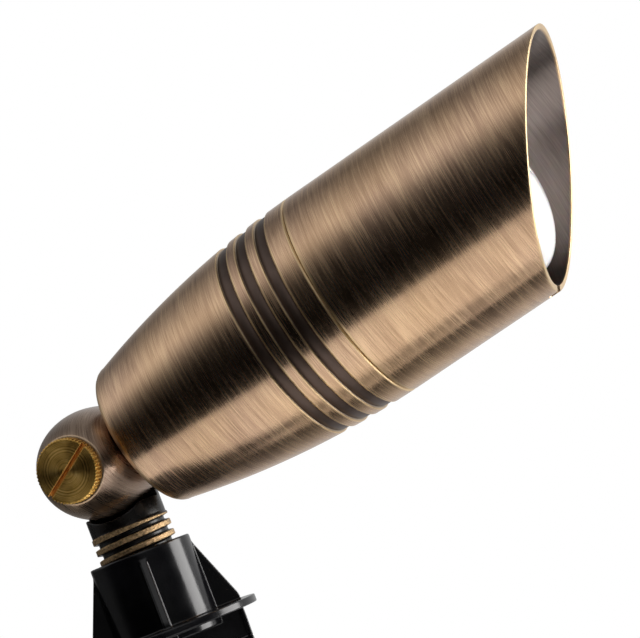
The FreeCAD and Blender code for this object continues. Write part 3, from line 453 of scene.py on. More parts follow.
def brushed_bronze(name, dark, middle, light, roughness, brushing=1.0):
    """Aged bronze brushed round the piece's own Z axis, with bright worn edges.

    The floor mark is 0 on brushed metal, 0.5 on bare metal inside the shroud and 1 on dull groove floors.
    """
    look = Look(name, Metallic=1.0, Anisotropic=0.7, Anisotropic_Rotation=0.25)
    look.spot = look.mark("own_place", "Vector")
    fine = look.noise(3600, 2.0, stretch=(0.03, 0.03, 1))
    medium = look.noise(1500, 2.0, stretch=(0.04, 0.04, 1), shift=4.0)
    scratch = look.noise(2300, 1.0, stretch=(0.05, 0.05, 1), shift=11.0)
    broad = look.noise(150, 2.0, stretch=(0.3, 0.3, 1), shift=9.0)
    streak = look.math("ADD", look.math("MULTIPLY", fine, 0.6), look.math("MULTIPLY", medium, 0.4))
    tone = look.math("ADD", look.math("MULTIPLY", streak, 0.7), look.math("MULTIPLY", broad, 0.3))
    colour = look.ramp(tone, (0.34, dark), (0.5, middle), (0.66, light))
    scratched = look.ramp(scratch, (0.64, 0.0), (0.76, 0.35 * brushing))
    colour = look.mix(scratched, colour, tuple(0.6 * c for c in dark))
    rubbed = look.ramp(look.noise(300, 4.0, shift=1.0), (0.3, 0.6), (0.6, 1.0))
    wear = look.math("MULTIPLY", look.mark("wear"), rubbed)
    floor = look.mark("floor")
    lighter = tuple(1.25 * c for c in PATINA)
    patina = look.ramp(look.noise(160, 3.0, shift=6.0), (0.35, PATINA), (0.65, lighter))
    bare = look.math("MULTIPLY", floor, 2.0, clamp=True)
    hollow = look.math("SUBTRACT", look.math("MULTIPLY", floor, 2.0), 1.0, clamp=True)
    cloud = look.ramp(look.noise(28, 2.0, shift=3.0), (0.35, 0.0), (0.65, 1.0))
    colour = look.mix(look.math("MULTIPLY", cloud, 0.3), colour, GOLDEN_CLOUD)
    colour = look.mix(bare, colour, look.ramp(streak, (0.35, BARE_DARK), (0.65, BARE_LIGHT)))
    colour = look.mix(hollow, colour, patina)
    colour = look.mix(wear, colour, WORN_BRONZE)
    rough = look.ramp(streak, (0.35, roughness - 0.04), (0.65, roughness + 0.08))
    rough = look.mix(bare, rough, grey(0.36))
    rough = look.mix(hollow, rough, grey(0.46))
    rough = look.mix(wear, rough, grey(0.42))
    calm = look.math("SUBTRACT", 1.0, bare)
    normal = look.bump(look.math("MULTIPLY", fine, calm), 0.09 * brushing, 0.00003)
    normal = look.bump(look.math("MULTIPLY", medium, calm), 0.05 * brushing, 0.00005, normal)
    return look.wire(Base_Color=colour, Roughness=rough, Normal=normal, Tangent=look.around())


def raw_brass():
    """Turned yellow brass with the fine rings of the tool round its own Z axis, and a painted orange light
    on the walls of the screw's slot.
    """
    look = Look("turned_brass", Metallic=1.0, Anisotropic=0.9, Anisotropic_Rotation=0.25)
    look.spot = look.mark("own_place", "Vector")
    parts = look.add("ShaderNodeSeparateXYZ", {0: look.spot})
    squares = [look.math("POWER", parts.outputs[axis], 2.0) for axis in (0, 1)]
    across = look.math("SQRT", look.math("ADD", *squares))
    rings = look.add("ShaderNodeTexNoise", {"W": across, "Scale": 2600.0, "Detail": 3.0},
                     noise_dimensions="1D").outputs[0]
    tarnish = look.noise(260, 4.0, shift=3.0)
    tone = look.math("ADD", look.math("MULTIPLY", rings, 0.55), look.math("MULTIPLY", tarnish, 0.45))
    colour = look.ramp(tone, (0.34, (0.40, 0.21, 0.045)), (0.5, (0.74, 0.44, 0.105)),
                       (0.66, (0.97, 0.66, 0.23)))
    # painted light: the floor mark picks the slot's walls, which are painted a brighter orange as if lit
    colour = look.mix(look.mark("floor"), colour, (0.80, 0.40, 0.10))
    rough = look.ramp(tarnish, (0.35, 0.30), (0.65, 0.40))
    normal = look.bump(rings, 0.8, 0.00010)
    return look.wire(Base_Color=colour, Roughness=rough, Normal=normal, Tangent=look.around())


def cast_brass():
    """Rough brass, near black everywhere except on the thread's crests, which are rubbed bright."""
    look = Look("cast_brass", Specular_IOR_Level=0.3)
    grain = look.noise(1500, 5.0, 0.6)
    cloud = look.noise(300, 3.0, shift=5.0)
    wear = look.mark("wear")
    dark = look.ramp(cloud, (0.35, (0.004, 0.0035, 0.003)), (0.65, (0.009, 0.007, 0.006)))
    bright = look.ramp(grain, (0.32, (0.13, 0.085, 0.045)), (0.68, (0.66, 0.46, 0.25)))
    colour = look.mix(wear, dark, bright)
    glossy = look.ramp(cloud, (0.35, 0.22), (0.65, 0.32))
    rough = look.mix(wear, glossy, look.ramp(grain, (0.3, 0.38), (0.7, 0.55)))
    height = look.math("MULTIPLY", grain, look.math("ADD", look.math("MULTIPLY", wear, 0.9), 0.1))
    normal = look.bump(height, 0.9, 0.0003)
    return look.wire(Base_Color=colour, Metallic=wear, Roughness=rough, Normal=normal)


def black_plastic():
    """Glossy black moulded plastic with a faint orange-peel surface and rubbing marks."""
    look = Look("black_plastic", Specular_IOR_Level=0.4)
    peel = look.noise(420, 2.0)
    scuff = look.noise(140, 4.0, 0.6, shift=7.0)
    colour = look.ramp(scuff, (0.4, (0.0035, 0.0035, 0.0045)), (0.7, (0.007, 0.007, 0.0085)))
    rough = look.ramp(scuff, (0.38, 0.15), (0.7, 0.22))
    return look.wire(Base_Color=colour, Roughness=rough, Normal=look.bump(peel, 0.06, 0.0002))


def simple(name, colour, second, metallic=0.0, roughness=0.5, grain=600, depth=0.0001):
    """Two tones of one colour with a fine grain."""
    look = Look(name, Metallic=metallic)
    noise = look.noise(grain, 4.0)
    tone = look.ramp(noise, (0.35, colour), (0.65, second))
    rough = look.ramp(noise, (0.3, roughness - 0.06), (0.7, roughness + 0.08))
    return look.wire(Base_Color=tone, Roughness=rough, Normal=look.bump(noise, 0.3, depth))


def opal_glass():
    """White glass with a clear glossy face and a faint haze."""
    look = Look("opal_glass", Coat_Weight=0.4, Coat_Roughness=0.03, Subsurface_Weight=0.25,
                Subsurface_Scale=0.004)
    haze = look.noise(90, 3.0)
    tone = look.ramp(haze, (0.35, (0.88, 0.885, 0.89)), (0.65, (0.93, 0.935, 0.94)))
    rough = look.ramp(haze, (0.3, 0.10), (0.7, 0.18))
    return look.wire(Base_Color=tone, Roughness=rough, Normal=look.bump(haze, 0.05, 0.0002))


BRONZE = brushed_bronze("aged_bronze", (0.34, 0.215, 0.145), (0.56, 0.37, 0.25), (0.84, 0.59, 0.38), 0.24)
KNUCKLE = brushed_bronze("knuckle_bronze", (0.22, 0.15, 0.108), (0.34, 0.24, 0.178), (0.50, 0.375, 0.285),
                         0.27, brushing=0.7)
BRASS = raw_brass()
CAST = cast_brass()
PLASTIC = black_plastic()
RUBBER = simple("black_rubber", (0.012, 0.012, 0.012), (0.03, 0.03, 0.03), roughness=0.6)
YELLOW = simple("plain_brass", (0.48, 0.33, 0.12), (0.68, 0.48, 0.19), 1.0, 0.35, 900, 0.00004)
STEEL = simple("satin_steel", (0.42, 0.42, 0.42), (0.6, 0.6, 0.6), 1.0, 0.3, 1500, 0.00003)
CERAMIC = simple("ceramic", (0.74, 0.71, 0.66), (0.84, 0.82, 0.78), roughness=0.45)
SILICONE = simple("silicone", (0.5, 0.48, 0.44), (0.62, 0.6, 0.56), roughness=0.5)
GREY = simple("grey_silicone", (0.2, 0.2, 0.21), (0.32, 0.32, 0.33), roughness=0.5)
ALLOY = simple("alloy", (0.55, 0.55, 0.56), (0.72, 0.72, 0.73), 1.0, 0.35, 900, 0.00005)
PHOSPHOR = simple("phosphor", (0.7, 0.55, 0.1), (0.8, 0.66, 0.2), roughness=0.6)
FROST = simple("frosted_cover", (0.8, 0.8, 0.8), (0.88, 0.88, 0.88), roughness=0.4)
OPAL = opal_glass()


# ------------------------------------------------------------------ housing
def rear_round():
    """Corners of the rounded rear edge, worn along its middle."""
    steps = 6
    edge = outer_radius(REAR + REAR_ROUND)
    corners = []
    for step in range(1, steps + 1):
        angle = step / steps * math.pi / 2
        radius = edge - REAR_ROUND + REAR_ROUND * math.sin(angle)
        place = REAR + REAR_ROUND - REAR_ROUND * math.cos(angle)
        corners.append((radius, place, 0, 0.55 if 2 <= step <= 4 else 0.1, 0))
    return corners


def groove(start):
    """Corners of one ring groove with a crowned floor and a step on its far side."""
    end = start + GROOVE_WIDTH
    low = outer_radius(start) - GROOVE_DEPTH
    corners = [(outer_radius(start), start, 0.16, 0.75, 0), (low, start + 0.02, 0, 0, 1)]
    for t in np.linspace(0.08, 0.92, 9):
        lift = GROOVE_CROWN * (1 - (2 * t - 1) ** 2)
        corners.append((low + lift, start + GROOVE_WIDTH * t, 0, 0, 1))
    return corners + [
        (low, end - 0.02, 0, 0, 1),
        (outer_radius(end) - GROOVE_STEP, end, 0.12, 0.7, 0),
        (outer_radius(end + GROOVE_STEP), end + GROOVE_STEP, 0.15, 0.9, 0),
    ]


def build_housing():
    """Tapered body with its ring grooves, and the sleeve that carries the shroud."""
    corners = [
        (SPIGOT_HOLE, REAR, 0, 0, 0),
        (outer_radius(REAR + REAR_ROUND) - REAR_ROUND, REAR, 0, 0, 0),
    ]
    corners += rear_round()
    for z in np.arange(REAR + 5, REAR + 45, 2.0):
        corners.append((outer_radius(z), z, 0, 0, 0))
    for number in range(GROOVE_COUNT):
        corners += groove(GROOVE_START + GROOVE_PITCH * number)
    ledge = SLEEVE_END - THREAD_DEPTH
    corners += [
        (SEAM_RADIUS, SEAM - SEAM_EASE, 0.15, 1.0, 0),
        (SEAM_RADIUS - SEAM_EASE, SEAM, 0.1, 0.8, 0),
        (SLEEVE_RADIUS, SEAM, 0, 0, 1),
        (SLEEVE_RADIUS, ledge, 0, 0, 1),
        (SLEEVE_LEDGE, ledge, 0, 0, 1),
        (SLEEVE_LEDGE, SLEEVE_END, 0, 0, 1),
        (CHAMBER_RADIUS, SLEEVE_END, 0, 0, 1),
        (CHAMBER_RADIUS, CHAMBER_BACK, 0, 0, 1),
        (CHAMBER_MIDDLE, CHAMBER_BACK, 0, 0, 1),
        (CHAMBER_REAR, REAR + REAR_WALL, 0, 0, 1),
        (SPIGOT_HOLE, REAR + REAR_WALL, 0, 0, 1),
    ]
    lathe("housing_shell", corners, HEAD, "head", ["housing"], BRONZE)


def shroud_angles():
    """Angles of the shroud's outlines, close together where the notch is."""
    across = np.array([0.0, 0.5, 1.0, 1.4, 1.7, 1.84, 1.9, 1.93, 2.2, 2.8])
    at_notch = np.arcsin(across / TIP_RADIUS)
    near = np.concatenate([-at_notch[:0:-1], at_notch])
    wide = np.linspace(at_notch[-1], 2 * math.pi - at_notch[-1], 250)[1:-1]
    return np.concatenate([near, wide])


def rim_height(angle, radius):
    """Place of the slanted mouth along the axis, with the drain notch at its lowest point."""
    x, y = math.cos(angle), TIP_RADIUS * math.sin(angle)
    plane = TIP - (x * radius + TIP_RADIUS) * RIM_SLOPE
    if x > 0 and abs(y) < NOTCH_HALF:
        notch_floor = TIP - 2 * TIP_RADIUS * RIM_SLOPE - NOTCH_DEPTH
        plane = min(plane, notch_floor + NOTCH_HALF - math.sqrt(NOTCH_HALF ** 2 - y ** 2))
    return plane


def shroud_outline(angle):
    """Closed outline at one angle: radius, place along the axis, wear and floor of each point."""
    rear = SEAM + SHROUD_GAP
    low = rear + SHROUD_LIP
    bore = SHROUD_BORE
    top_out, top_in = rim_height(angle, TIP_RADIUS), rim_height(angle, bore)
    at_notch = math.cos(angle) > 0 and abs(TIP_RADIUS * math.sin(angle)) < NOTCH_HALF + 0.3
    # the mouth's cut face is bright worn metal all round; at the drain notch that wear is cut to a fifth, a
    # painted shade for the shadow in the notch
    rim_wear_and_notch_shade = 0.2 if at_notch else 1.0
    out = [
        (bore + 0.2, rear, 0, 1), (SEAM_RADIUS - 0.5, rear, 0.2, 1), (SEAM_RADIUS - 0.35, rear, 0.9, 0),
        (SEAM_RADIUS - 0.12, rear + 0.1, 1.0, 0), (SEAM_RADIUS, rear + 0.36, 0.8, 0),
        (SEAM_RADIUS, low, 0, 0),
    ]
    for t in np.linspace(0, 1, 26)[1:]:
        z = low + (top_out - 0.75 - low) * t
        out.append((SEAM_RADIUS - (SEAM_RADIUS - TIP_RADIUS) * (z - low) / (TIP - low), z, 0, 0))
    edge = SEAM_RADIUS - (SEAM_RADIUS - TIP_RADIUS) * (top_out - low) / (TIP - low)
    inner = top_in - 0.7
    out += [
        (edge, top_out - 0.22, 0.5 * rim_wear_and_notch_shade, 0), (edge - 0.05, top_out - 0.07, rim_wear_and_notch_shade, 0),
        (edge - 0.2, top_out + (top_in - top_out) * 0.15 - 0.005, rim_wear_and_notch_shade, 0),
        ((edge + bore) / 2, (top_out + top_in) / 2, 0.9 * rim_wear_and_notch_shade, 0),
        (bore + 0.2, top_in + (top_out - top_in) * 0.15 - 0.005, rim_wear_and_notch_shade, 0),
        (bore + 0.05, top_in - 0.07, rim_wear_and_notch_shade, 0), (bore, top_in - 0.22, 0.4 * rim_wear_and_notch_shade, 0),
        (bore, inner, 0, 0.5),
    ]
    for t in np.linspace(0, 1, 20)[1:]:
        out.append((bore, inner - (inner - rear) * t, 0, 0.5))
    return out


def build_shroud():
    """Tube with a slanted mouth."""
    angles = shroud_angles()
    outlines = np.array([shroud_outline(angle) for angle in angles])
    segments, count = outlines.shape[:2]
    radius, along, wear, floor = (outlines[:, :, part] for part in range(4))
    cosine = np.array([math.cos(angle) for angle in angles])[:, None]
    sine = np.array([math.sin(angle) for angle in angles])[:, None]
    points = np.stack([radius * cosine, radius * sine, along], axis=-1).reshape(-1, 3)
    marks = {"wear": wear.ravel(), "floor": floor.ravel()}
    add_mesh("shroud_shell", points, hoop_faces(segments, count), HEAD, "hood", ["shroud"], BRONZE, marks)


def build_lens():
    """Domed lens with its flange."""
    centre = 0.001
    steps = 25
    corners = [
        (centre, LENS_BACK, 0, 0, 0),
        (LENS_RADIUS, LENS_BACK, 0.3, 0, 0),
        (LENS_RADIUS, LENS_FRONT, 0.3, 0, 0),
        (DOME_RADIUS, LENS_FRONT, 0, 0, 0),
        (DOME_RADIUS, SKIRT_TOP, 0, 0, 0),
    ]
    for step in range(1, steps):
        angle = step / steps * math.pi / 2
        corners.append((DOME_RADIUS * math.cos(angle), SKIRT_TOP + DOME_HEIGHT * math.sin(angle), 0, 0, 0))
    corners.append((centre, SKIRT_TOP + DOME_HEIGHT, 0, 0, 0))
    lathe("lens_dome", corners, HEAD, "head", ["lens"], OPAL)


def build_lens_ring():
    """Ring on the sleeve's end whose lip holds the lens."""
    back = SLEEVE_END - THREAD_DEPTH + 0.05
    lip = LENS_FRONT + 0.05
    face = lip + RING_HEIGHT
    mouth = DOME_RADIUS + 0.3
    corners = [
        (RING_BORE, back, 0, 0, 1), (SLEEVE_RADIUS, back, 0, 0, 1), (SLEEVE_RADIUS, face, 0.3, 0.2, 0.6),
        (mouth, face, 0.2, 0.3, 0.6), (mouth, lip, 0, 0, 1), (RING_BORE, lip, 0, 0, 1),
    ]
    lathe("lens_ring_turned", corners, HEAD, "head", ["lens_ring"], BRONZE)


# ------------------------------------------------------------------ knuckle
def knuckle_field(x, y, z):
    """Half ball on a round boss, in the lamp's frame; about is the distance from the hinge's axis."""
    about = np.hypot(x, z)
    nose = np.sqrt((about / BALL_RADIUS) ** 2 + (np.minimum(y + BALL_STRAIGHT, 0) / BALL_NOSE) ** 2) - 1
    ball = within(nose * BALL_RADIUS, slab(y, -BALL_FLAT, 0), 0.3)
    ball = within(ball, z - BOSS_TOP, 0.3)
    boss = drum(np.hypot(x, y), z, BOSS_RADIUS, 0, BOSS_TOP, 0.3)
    boss = np.maximum(boss, np.minimum(y, BOSS_TOP - BOSS_COLLAR - z))
    whole = less(join(ball, boss, 0.9), about - HEAD_HOLE, 0.1)
    return less(whole, np.maximum(about - WASHER_ROOM, y + BALL_FLAT - WASHER_DEPTH), 0.05)


def build_knuckle():
    """Head's half of the knuckle, a little worn round its flat face."""
    points, faces = net(knuckle_field, (-16, -24, -16), (16, 12.5, 13.0), 0.3)
    rim = np.clip(1 - np.abs(points[:, 1] + BALL_FLAT) / 0.4, 0, 1)
    add_mesh("knuckle_front", points, faces, HEAD, "head", ["head_knuckle"], KNUCKLE,
             {"wear": rim * 0.3, "floor": points[:, 0] * 0})


def stem_field(x, y, z):
    """Threaded post, cut back round the ball, with the rear half of the knuckle."""
    r = np.hypot(x, y)
    turn = np.arctan2(y, x) / (2 * math.pi)
    phase = np.mod((z - STEM_FOOT - THREAD_START) / THREAD_PITCH - turn + 0.5, 1) - 0.5
    rise = np.clip((0.36 - np.abs(phase)) / 0.14, 0, 1)
    rise = rise * rise * (3 - 2 * rise)
    fade = np.clip((THREAD_TOP + 1.0 - z) / 0.5, 0, 1) * np.clip((z - STEM_FOOT - 0.2) / 0.8, 0, 1)
    thread = THREAD_ROOT + THREAD_HEIGHT * rise * fade
    neck = np.clip((z - THREAD_TOP + 0.1) / 0.3, 0, 1)
    outside = np.maximum(thread, THREAD_ROOT + (NECK_RADIUS - THREAD_ROOT) * neck)
    post = within((r - outside) * 0.75, slab(z, STEM_FOOT, HINGE_HEIGHT), 0.3)
    about = np.hypot(x, z - HINGE_HEIGHT)
    room = np.minimum(about - BALL_RADIUS - SWING_ROOM, SWING_TOP - z)
    post = less(post, np.maximum(room, y - HALF_GAP), 0.3)
    back = within(about - HALF_RADIUS, slab(y, HALF_GAP, HALF_DEPTH), HALF_ROUND)
    whole = np.minimum(post, back)
    return less(whole, np.maximum(about - STEM_HOLE, -6 - y), 0.1)


def build_stem():
    """Threaded post, bare metal on its crests."""
    reach = 11.4
    top = HINGE_HEIGHT + HALF_RADIUS + 1.2
    points, faces = net(stem_field, (-reach, -reach, STEM_FOOT - 0.6), (reach, reach, top), 0.24)
    r = np.hypot(points[:, 0], points[:, 1])
    worn = np.clip((r - 10.2) / 0.3, 0, 1) * (points[:, 2] < THREAD_TOP + 0.2)
    add_mesh("stem_post", points, faces, Matrix(), "stem", ["knuckle_stem"], CAST,
             {"wear": worn, "floor": points[:, 0] * 0})


# ------------------------------------------------------------------ clamp screw
def off_the_slot(x, y):
    """Distance from the middle of the screw's slot."""
    return np.abs(y * math.cos(SLOT_TURN) - x * math.sin(SLOT_TURN))


def screw_field(x, y, z):
    """Knurled head with its slot, on a plain shank."""
    r = np.hypot(x, y)
    angle = np.arctan2(y, x)
    tooth = np.abs(np.mod(angle * KNURL_COUNT / (2 * math.pi), 1) - 0.5) * 2
    rim = SCREW_RADIUS + KNURL_HEIGHT * np.clip((tooth - 0.25) / 0.4, 0, 1)
    chamfer = np.minimum(z - SCREW_LOW, SCREW_FACE - z)
    side = np.maximum(r - rim, (r - SCREW_RADIUS - KNURL_HEIGHT) + SCREW_CHAMFER - chamfer)
    head = within(side * 0.8, slab(z, SCREW_LOW, SCREW_FACE), 0.12)
    shank = np.maximum(r - SHANK_RADIUS, slab(z, -SHANK_REACH, SCREW_LOW + 0.5))
    slot = np.maximum(off_the_slot(x, y) - SLOT_HALF, SCREW_FACE - SLOT_DEPTH - z)
    return less(np.minimum(head, shank), slot, 0.08)


def build_screw():
    """Clamp screw, its face worn at the rim and its slot walls marked by the floor for a painted orange
    light.
    """
    low = (-9, -9, -SHANK_REACH - 0.6)
    high = (9, 9, SCREW_FACE + 0.6)
    points, faces = net(screw_field, low, high, 0.15)
    x, y, z = points.T
    edge = np.clip(1 - (SCREW_FACE - z) / 0.4, 0, 1) * (np.hypot(x, y) > 7.8)
    # painted light: marks the slot's walls, which the brass material paints a lit orange
    slot = np.clip((0.66 - off_the_slot(x, y)) / 0.1, 0, 1) * (z > SCREW_FACE - SLOT_DEPTH - 0.1)
    add_mesh("screw_knurled", points, faces, HINGE, "screw", ["clamp_screw"], BRASS,
             {"wear": edge, "floor": slot})


# ------------------------------------------------------------------ stake
def blade_field(side, out, z):
    """Four tapering blades with a thicker outer edge; side is across a blade and out is along it."""
    upper_taper = (BLADE_REACH - SHOULDER_REACH) / (TAPER_TOP - BLADE_SHOULDER)
    lower_taper = (SHOULDER_REACH - POINT_RADIUS) / (BLADE_SHOULDER - POINT_TOP)
    upper = BLADE_REACH + (z - TAPER_TOP) * upper_taper
    lower = SHOULDER_REACH + (z - BLADE_SHOULDER) * lower_taper
    reach = np.where(z > TAPER_TOP, BLADE_REACH, np.where(z > BLADE_SHOULDER, upper, lower))
    edge = np.maximum(out - reach, slab(z, BLADE_END, BLADE_TOP))
    web = within(edge, side - BLADE_HALF, 0.3)
    rib = within(np.maximum(edge, reach - EDGE_WIDTH - out), side - EDGE_HALF, 0.3)
    return join(web, rib, 0.4)


def stake_field(x, y, z):
    """The stake in its own frame, its first blade along +X."""
    r = np.hypot(x, y)
    body = drum(r, z, COLLAR_RADIUS, COLLAR_FOOT, COLLAR_TOP, 0.5)
    body = join(body, drum(r, z, FLANGE_RADIUS, 0, FLANGE_TOP, 0.35), 0.5)
    side = np.where(np.abs(x) > np.abs(y), np.abs(y), np.abs(x))
    out = np.maximum(np.abs(x), np.abs(y))
    run, rise = GUSSET_REACH - COLLAR_RADIUS, GUSSET_TOP - GUSSET_FOOT
    slope = ((out - GUSSET_REACH) * rise + (z - GUSSET_FOOT) * run) / math.hypot(rise, run)
    gusset = within(slope, slab(z, 0.5, GUSSET_TOP), 0.2)
    gusset = within(gusset, np.maximum(side - GUSSET_HALF, out - GUSSET_REACH), 0.3)
    body = join(body, gusset, 0.35)
    body = join(body, blade_field(side, out, z), 0.4)
    taper = POINT_RADIUS * (z - STAKE_TIP) / (POINT_TOP - STAKE_TIP)
    point = np.maximum(r - np.clip(taper, 0, POINT_RADIUS), slab(z, STAKE_TIP, BLADE_TOP))
    body = join(body, point, 0.8)
    along = (x + y) * math.sqrt(0.5)
    across = np.hypot((x - y) * math.sqrt(0.5), z - EXIT_HEIGHT)
    body = join(body, drum(across, along, EXIT_RADIUS, 5, EXIT_FACE, 0.3), 0.6)
    body = less(body, np.maximum(r - COLLAR_BORE, COLLAR_FLOOR - z), 0.3)
    return less(body, np.maximum(across - EXIT_BORE, -along), 0.2)


def stake_above(x, y, z):
    return np.maximum(stake_field(x, y, z), STAKE_SPLIT - z)


def stake_below(x, y, z):
    return np.maximum(stake_field(x, y, z), z - STAKE_SPLIT)


def build_stake():
    """The stake in two meshes that meet below the ground, a fine one and a coarser one for the blades."""
    low, high = (-25.1, -25.1, STAKE_SPLIT - 0.7), (25.1, 25.1, COLLAR_TOP + 0.8)
    points, faces = net(stake_above, low, high, 0.33)
    add_mesh("stake_top", points, faces, STAKE, "stake", ["ground_stake"], PLASTIC)
    low, high = (-21, -21, STAKE_TIP - 0.6), (21, 21, STAKE_SPLIT + 1)
    points, faces = net(stake_below, low, high, 0.5)
    add_mesh("stake_blades", points, faces, STAKE, "stake", ["ground_stake"], PLASTIC)


build_housing()
build_shroud()
build_lens()
build_lens_ring()
build_knuckle()
build_stem()
build_screw()
build_stake()

LOOKS = {
    "exit_grommet": RUBBER, "stem_gland": RUBBER, "knuckle_seal": RUBBER, "neck_gasket": RUBBER,
    "housing_seals": RUBBER, "shroud_seal": RUBBER, "lens_gasket": GREY, "clamp_washer": STEEL,
    "neck_washer": STEEL, "neck_nut": YELLOW, "socket_bracket": STEEL, "bracket_screws": STEEL,
    "lamp_socket": CERAMIC, "socket_contacts": YELLOW, "socket_leads": SILICONE, "lamp_body": ALLOY,
    "lamp_base": CERAMIC, "lamp_pins": STEEL, "lamp_source": PHOSPHOR, "lamp_cover": FROST,
    "lamp_clip": STEEL,
}
for node, material in LOOKS.items():
    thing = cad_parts[node]
    thing.data.materials.clear()
    thing.data.materials.append(material)

# ------------------------------------------------------------------ camera
PHOTO_WIDTH = 640
FOCAL_PIXELS = 2213.14
SENSOR = 36.0
TURN = Vector((-0.02355, -0.29479, 0.38156))
OFFSET = Vector((-56.846, -37.758, -585.0)) * MM
BASIS = Matrix(((1, 0, 0), (0, 0, 1), (0, -1, 0)))
world_to_camera = Matrix.Rotation(TURN.length, 3, TURN.normalized()) @ BASIS
camera_to_world = world_to_camera.transposed()
camera_data = bpy.data.cameras.new("camera")
camera_data.sensor_width = SENSOR
camera_data.lens = FOCAL_PIXELS * SENSOR / PHOTO_WIDTH
camera_data.clip_start = 0.01
camera = bpy.data.objects.new("camera", camera_data)
bpy.context.collection.objects.link(camera)
place = camera_to_world.to_4x4()
place.translation = HINGE.translation - camera_to_world @ OFFSET
camera.matrix_world = place
bpy.context.scene.camera = camera

# ------------------------------------------------------------------ studio
WARM_WHITE = (1, 0.985, 0.97)
AMBIENT = 0.14
DARK_SIDE = 14
# how bright the room is in the gloss, by the cosine of the angle from its dark side
ROOM = (
    (-1.0, 0.70), (-0.69, 0.60), (-0.64, 0.46), (-0.50, 0.30), (-0.27, 0.20), (0.0, 0.36), (0.30, 0.66),
    (0.55, 0.88), (0.68, 0.62), (0.80, 0.20), (0.90, 0.04), (0.95, 0.012), (1.0, 0.008),
)
FLOOR_MIDDLE = (0.04, -0.15)
FLOOR_LEVEL = -0.1905
FLOOR_RADIUS = 0.2
FLOOR_STRETCH = 2.0
FLOOR_SIDES = 96
FLOOR_PLAIN = 0.13

UP = Vector((0, 0, 1))
MIDDLE = HEAD @ Vector((0, 0, 85 * MM))
AXIS = (HEAD.to_3x3() @ UP).normalized()
NEAR = (camera.matrix_world.translation - MIDDLE).normalized()
NEAR = (NEAR - AXIS * NEAR.dot(AXIS)).normalized()
OVER = AXIS.cross(NEAR) if AXIS.cross(NEAR).z > 0 else NEAR.cross(AXIS)


def round_the_lamp(angle):
    """Direction across the lamp's axis, at an angle above the camera's side."""
    rad = math.radians(angle)
    return NEAR * math.cos(rad) + OVER * math.sin(rad)


def softbox(name, direction, distance, size, energy, along=UP):
    """Area lamp in a direction from the lamp head, aimed at it, its longer side along a direction."""
    data = bpy.data.lights.new(name, "AREA")
    data.shape = "RECTANGLE"
    data.size, data.size_y = size
    data.energy = energy
    data.color = WARM_WHITE
    lamp = bpy.data.objects.new(name, data)
    bpy.context.collection.objects.link(lamp)
    back = direction.normalized()
    across = along.cross(back).normalized()
    lengthwise = back.cross(across).normalized()
    turn = Matrix((across, lengthwise, back)).transposed().to_4x4()
    turn.translation = MIDDLE + back * distance
    lamp.matrix_world = turn
    return lamp


key = softbox("key_box", round_the_lamp(97) * 0.96 + AXIS * 0.22, 1.0, (0.10, 0.4), 14, AXIS)
key.visible_glossy = False
softbox("front_box", camera_to_world @ Vector((0.95, 0.30, -0.10)), 0.8, (0.5, 0.8), 10)


class Rays(Tree):
    """A tree that tells rays apart; seen is 1 for what the camera sees, straight or through glass."""

    def __init__(self, tree):
        super().__init__(tree)
        path = self.add("ShaderNodeLightPath").outputs
        self.glossy = path["Is Glossy Ray"]
        self.seen = self.math("ADD", path["Is Camera Ray"], path["Is Transmission Ray"], True)


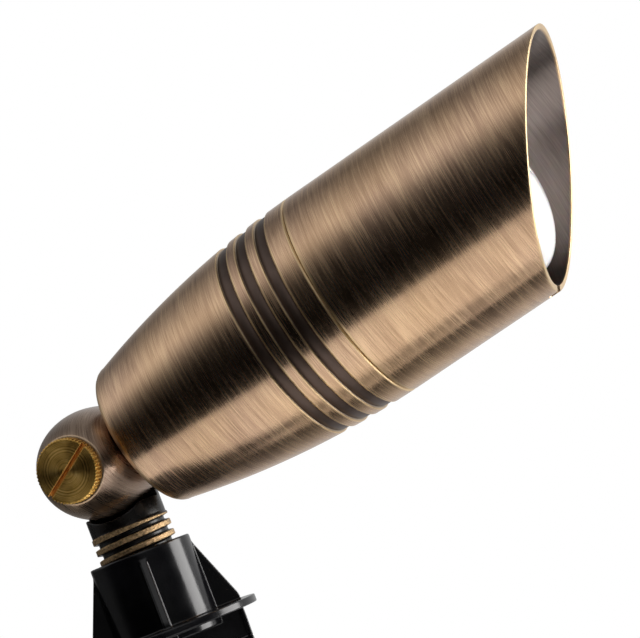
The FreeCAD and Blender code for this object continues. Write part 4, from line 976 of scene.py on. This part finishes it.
def build_room():
    """White to look at; a soft ceiling and far wall in the gloss, with a dark side behind the camera."""
    world = bpy.data.worlds.new("room")
    bpy.context.scene.world = world
    world.use_nodes = True
    rays = Rays(world.node_tree)
    way = rays.add("ShaderNodeTexCoord").outputs["Generated"]
    dark = (round_the_lamp(DARK_SIDE) * 0.92 - AXIS * 0.39).normalized()
    towards = rays.add("ShaderNodeVectorMath", {0: way, 1: dark}, operation="DOT_PRODUCT").outputs["Value"]
    height = rays.add("ShaderNodeSeparateXYZ", {0: way}).outputs["Z"]
    level = rays.add("ShaderNodeValToRGB", {0: rays.math("ADD", rays.math("MULTIPLY", towards, 0.5), 0.5)})
    fill_ramp(level, [(cosine * 0.5 + 0.5, brightness) for cosine, brightness in ROOM])
    above = rays.math("ADD", rays.math("MULTIPLY", height, 2.0), 0.05, True)
    beyond = rays.math("SUBTRACT", rays.math("MULTIPLY", towards, -2.0), 0.2, True)
    lit = rays.math("MAXIMUM", rays.math("MAXIMUM", above, beyond), 0.12)
    in_gloss = rays.math("MULTIPLY", rays.math("MULTIPLY", level.outputs[0], lit), rays.glossy)
    on_matt = rays.math("MULTIPLY", rays.math("SUBTRACT", 1.0, rays.glossy), AMBIENT)
    unseen = rays.math("SUBTRACT", 1.0, rays.seen)
    rest = rays.math("MULTIPLY", rays.math("ADD", in_gloss, on_matt), unseen)
    background = rays.tree.nodes["Background"]
    rays.feed(background.inputs["Color"], (1, 1, 1, 1))
    rays.feed(background.inputs["Strength"], rays.math("ADD", rest, rays.seen))


def backdrop_material():
    """Pale and matt near the part, running out into white."""
    material = bpy.data.materials.new("backdrop")
    material.use_nodes = True
    rays = Rays(material.node_tree)
    shader = rays.tree.nodes["Principled BSDF"]
    rays.feed(shader.inputs["Base Color"], (0.86, 0.86, 0.86, 1))
    rays.feed(shader.inputs["Roughness"], 0.9)
    rays.feed(shader.inputs["Specular IOR Level"], 0.1)
    spot = rays.add("ShaderNodeTexCoord").outputs["Object"]
    away = rays.add("ShaderNodeVectorMath", {0: spot}, operation="LENGTH").outputs["Value"]
    run_out = rays.add("ShaderNodeMapRange", {
        "Value": away, "From Min": FLOOR_PLAIN, "From Max": FLOOR_RADIUS * 0.97,
    }, interpolation_type="SMOOTHSTEP").outputs["Result"]
    seen = rays.math("ADD", rays.seen, rays.math("MULTIPLY", rays.glossy, 0.1), True)
    glow = rays.add("ShaderNodeEmission", {"Strength": 1.0}).outputs[0]
    blend = rays.add("ShaderNodeMixShader", {
        0: rays.math("MULTIPLY", seen, run_out), 1: shader.outputs[0], 2: glow,
    }).outputs[0]
    rays.feed(rays.tree.nodes["Material Output"].inputs[0], blend)
    return material


def build_floor():
    """Oval sheet just under the stake's point."""
    mesh = bpy.data.meshes.new("floor")
    ring = [(FLOOR_RADIUS * math.cos(a), FLOOR_RADIUS * math.sin(a), 0)
            for a in np.linspace(0, 2 * math.pi, FLOOR_SIDES, endpoint=False)]
    mesh.from_pydata(ring, [], [tuple(range(FLOOR_SIDES))])
    mesh.materials.append(backdrop_material())
    floor = bpy.data.objects.new("floor", mesh)
    floor.location = (*FLOOR_MIDDLE, FLOOR_LEVEL)
    floor.scale = (FLOOR_STRETCH, 1, 1)
    bpy.context.collection.objects.link(floor)


build_room()
build_floor()
bpy.context.scene.view_settings.view_transform = "Standard"
